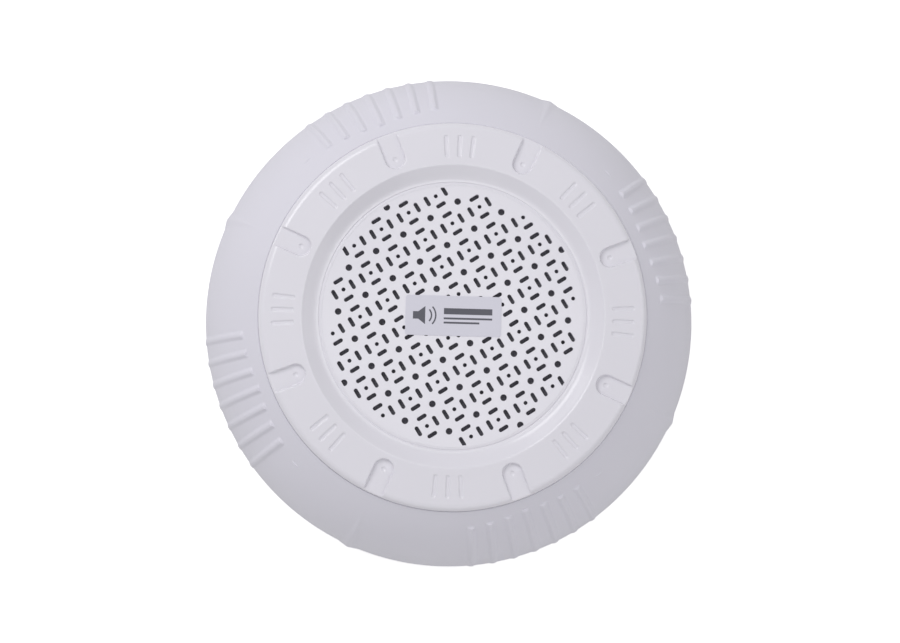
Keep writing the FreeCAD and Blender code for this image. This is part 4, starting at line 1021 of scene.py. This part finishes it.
dress("driver_terminal_board", surface("phenolic_paper", phenolic_tree(), (0.34, 0.16, 0.065),
                                       (0.3, 0.5), bump=0.2, relief=0.03, edge=0.1))

# ---- Leads -------------------------------------------------------------------------------
# Stranded wire in soft red and black insulation runs from the block through the board and
# the transformer to the driver's tags.
insulation = {colour: surface(colour + "_insulation", moulded, tone, (0.25, 0.4), bump=0.2, grain=0.0008,
                              dust=0.05)
              for colour, tone in (("red", (0.50, 0.022, 0.02)), ("black", (0.022, 0.022, 0.024)))}
for run in ("driver_lead_", "line_lead_", "feed_lead_"):
    for colour, material in insulation.items():
        dress(run + colour, material)

# ---- Rear cover, base and grommet --------------------------------------------------------
# The cover and the wall base are plainer mouldings in the same white plastic, with a matt
# skin. A black rubber grommet lines the cable entry.
matt_white = surface("matt_white_abs", moulded, (0.70, 0.70, 0.71), (0.45, 0.6), bump=0.3, grain=0.0006,
                     dust=0.05, edge=0.25)
dress("rear_cover", matt_white)
dress("mounting_base", matt_white)
dress("cable_grommet", surface("grommet_rubber", moulded, (0.035, 0.035, 0.035), (0.5, 0.7), bump=0.4,
                               grain=0.0004, dust=0.1, edge=0.3))

# ---- Screws ------------------------------------------------------------------------------
# Zinc-plated pan-head screws for plastic, all of one kind: a rounded head with a cross
# recess, and a coarse thread rolled on a thin core. The clamp screws are plain and slotted.
def screw_tree():
    """Screws on points: each a domed head with a cross recess over a threaded shank."""
    tree, given, out = shape_tree(
        "pan_head_screws", ("Places", "Geometry", None), ("Head radius", 0.0028), ("Head height", 0.0019),
        ("Core radius", 0.00105), ("Thread depth", 0.0004), ("Thread pitch", 0.0011), ("Length", 0.006),
        ("Cross width", 0.0008), ("Cross length", 0.0032), ("Cross depth", 0.001), ("Turn over", 0.0),
        ("Seed", "Int", 3))
    head_height, pitch, length = given["Head height"], given["Thread pitch"], given["Length"]
    head = add(tree, "GeometryNodeMeshCylinder", {
        "Vertices": 36, "Side Segments": 1, "Fill Segments": 6, "Radius": given["Head radius"],
        "Depth": head_height}).outputs["Mesh"]
    head = moved(head, vector(tree, z=calc("MULTIPLY", head_height, -0.5)))
    at = add(tree, "ShaderNodeSeparateXYZ", {0: put(tree, "GeometryNodeInputPosition")}).outputs
    flat = vector(tree, at[0], at[1])
    reach = add(tree, "ShaderNodeVectorMath", {0: flat}, operation="LENGTH").outputs["Value"]
    share = calc("MINIMUM", calc("DIVIDE", reach, given["Head radius"]), 1.0)
    low = calc("SUBTRACT", 1.0, calc("MULTIPLY", calc("POWER", share, 4.0), 0.62))
    domed = vector(tree, at[0], at[1], calc("MULTIPLY", at[2], low))
    head = put(tree, "GeometryNodeSetPosition", {"Geometry": head, "Position": domed})
    cut = add(tree, "GeometryNodeMeshBoolean", {"Mesh 1": head}, operation="DIFFERENCE", solver="EXACT")
    deep = calc("ADD", given["Cross depth"], head_height)
    drop = calc("MULTIPLY_ADD", head_height, -1.5, calc("MULTIPLY", given["Cross depth"], 0.5))
    for turn in (0.0, math.pi / 2):
        bar = put(tree, "GeometryNodeMeshCube", {"Size": vector(
            tree, given["Cross length"], given["Cross width"], deep)})
        tree.links.new(moved(bar, vector(tree, z=drop), (0.0, 0.0, turn)), cut.inputs["Mesh 2"])
    core = add(tree, "GeometryNodeMeshCylinder", {"Vertices": 20, "Radius": given["Core radius"],
                                                  "Depth": length}).outputs["Mesh"]
    core = moved(core, vector(tree, z=calc("MULTIPLY", length, 0.5)))
    climb = calc("MULTIPLY_ADD", pitch, -1.0, length)
    helix = put(tree, "GeometryNodeCurveSpiral", {
        "Resolution": 18, "Rotations": calc("DIVIDE", climb, pitch), "Height": climb,
        "Start Radius": given["Core radius"], "End Radius": given["Core radius"]})
    helix = moved(helix, vector(tree, z=calc("MULTIPLY", pitch, 0.5)))
    thread = add(tree, "GeometryNodeCurveToMesh", {
        "Curve": helix, "Profile Curve": circle(4, given["Thread depth"]), "Fill Caps": True})
    screw = joined([cut.outputs[0], core, thread.outputs[0]])
    spin = add(tree, "FunctionNodeRandomValue", {2: 0.0, 3: math.tau, "Seed": given["Seed"]},
               data_type="FLOAT").outputs[1]
    placed = put(tree, "GeometryNodeInstanceOnPoints", {
        "Points": given["Places"], "Instance": screw,
        "Rotation": vector(tree, given["Turn over"], 0.0, spin)})
    return end_tree(tree, placed, given, out)


screws = screw_tree()
screw_steel = surface("screw_zinc", plated, (0.62, 0.62, 0.60), (0.25, 0.4), bump=0.1, relief=0.01,
                      edge=0.06, shader_values={"Metallic": 1.0})
screw_head = 1.9
parts_line = 62.0


def pair(half, y):
    return [(-half, y), (half, y)]


screw_sets = [("rear_cover_screws", around(post_radius, first_angle + 22.5, 4), False),
              ("panel_screws", around(recess_radius, first_angle, 8), False),
              ("driver_screws", around(driver_screw_radius, first_angle + 22.5, 4), False),
              ("terminal_block_screws", pair(20.5, parts_line), False),
              ("transformer_screws", pair(19.6, -parts_line), True),
              ("board_screws", pair(17.0, parts_line), True)]
for name, spots, over in screw_sets:
    low, high = (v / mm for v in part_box(name))
    seat = high.z - screw_head if over else low.z + screw_head
    length = seat - low.z if over else high.z - seat
    mesh = grown(name + "_turned", screws, screw_steel, [(x, y, seat) for x, y in spots],
                 Length=length * mm, Turn_over=math.pi if over else 0.0)
    link(name + "_turned", outward(mesh), screw_steel, "housing", name, edges=35)
dress("terminal_screws", screw_steel)
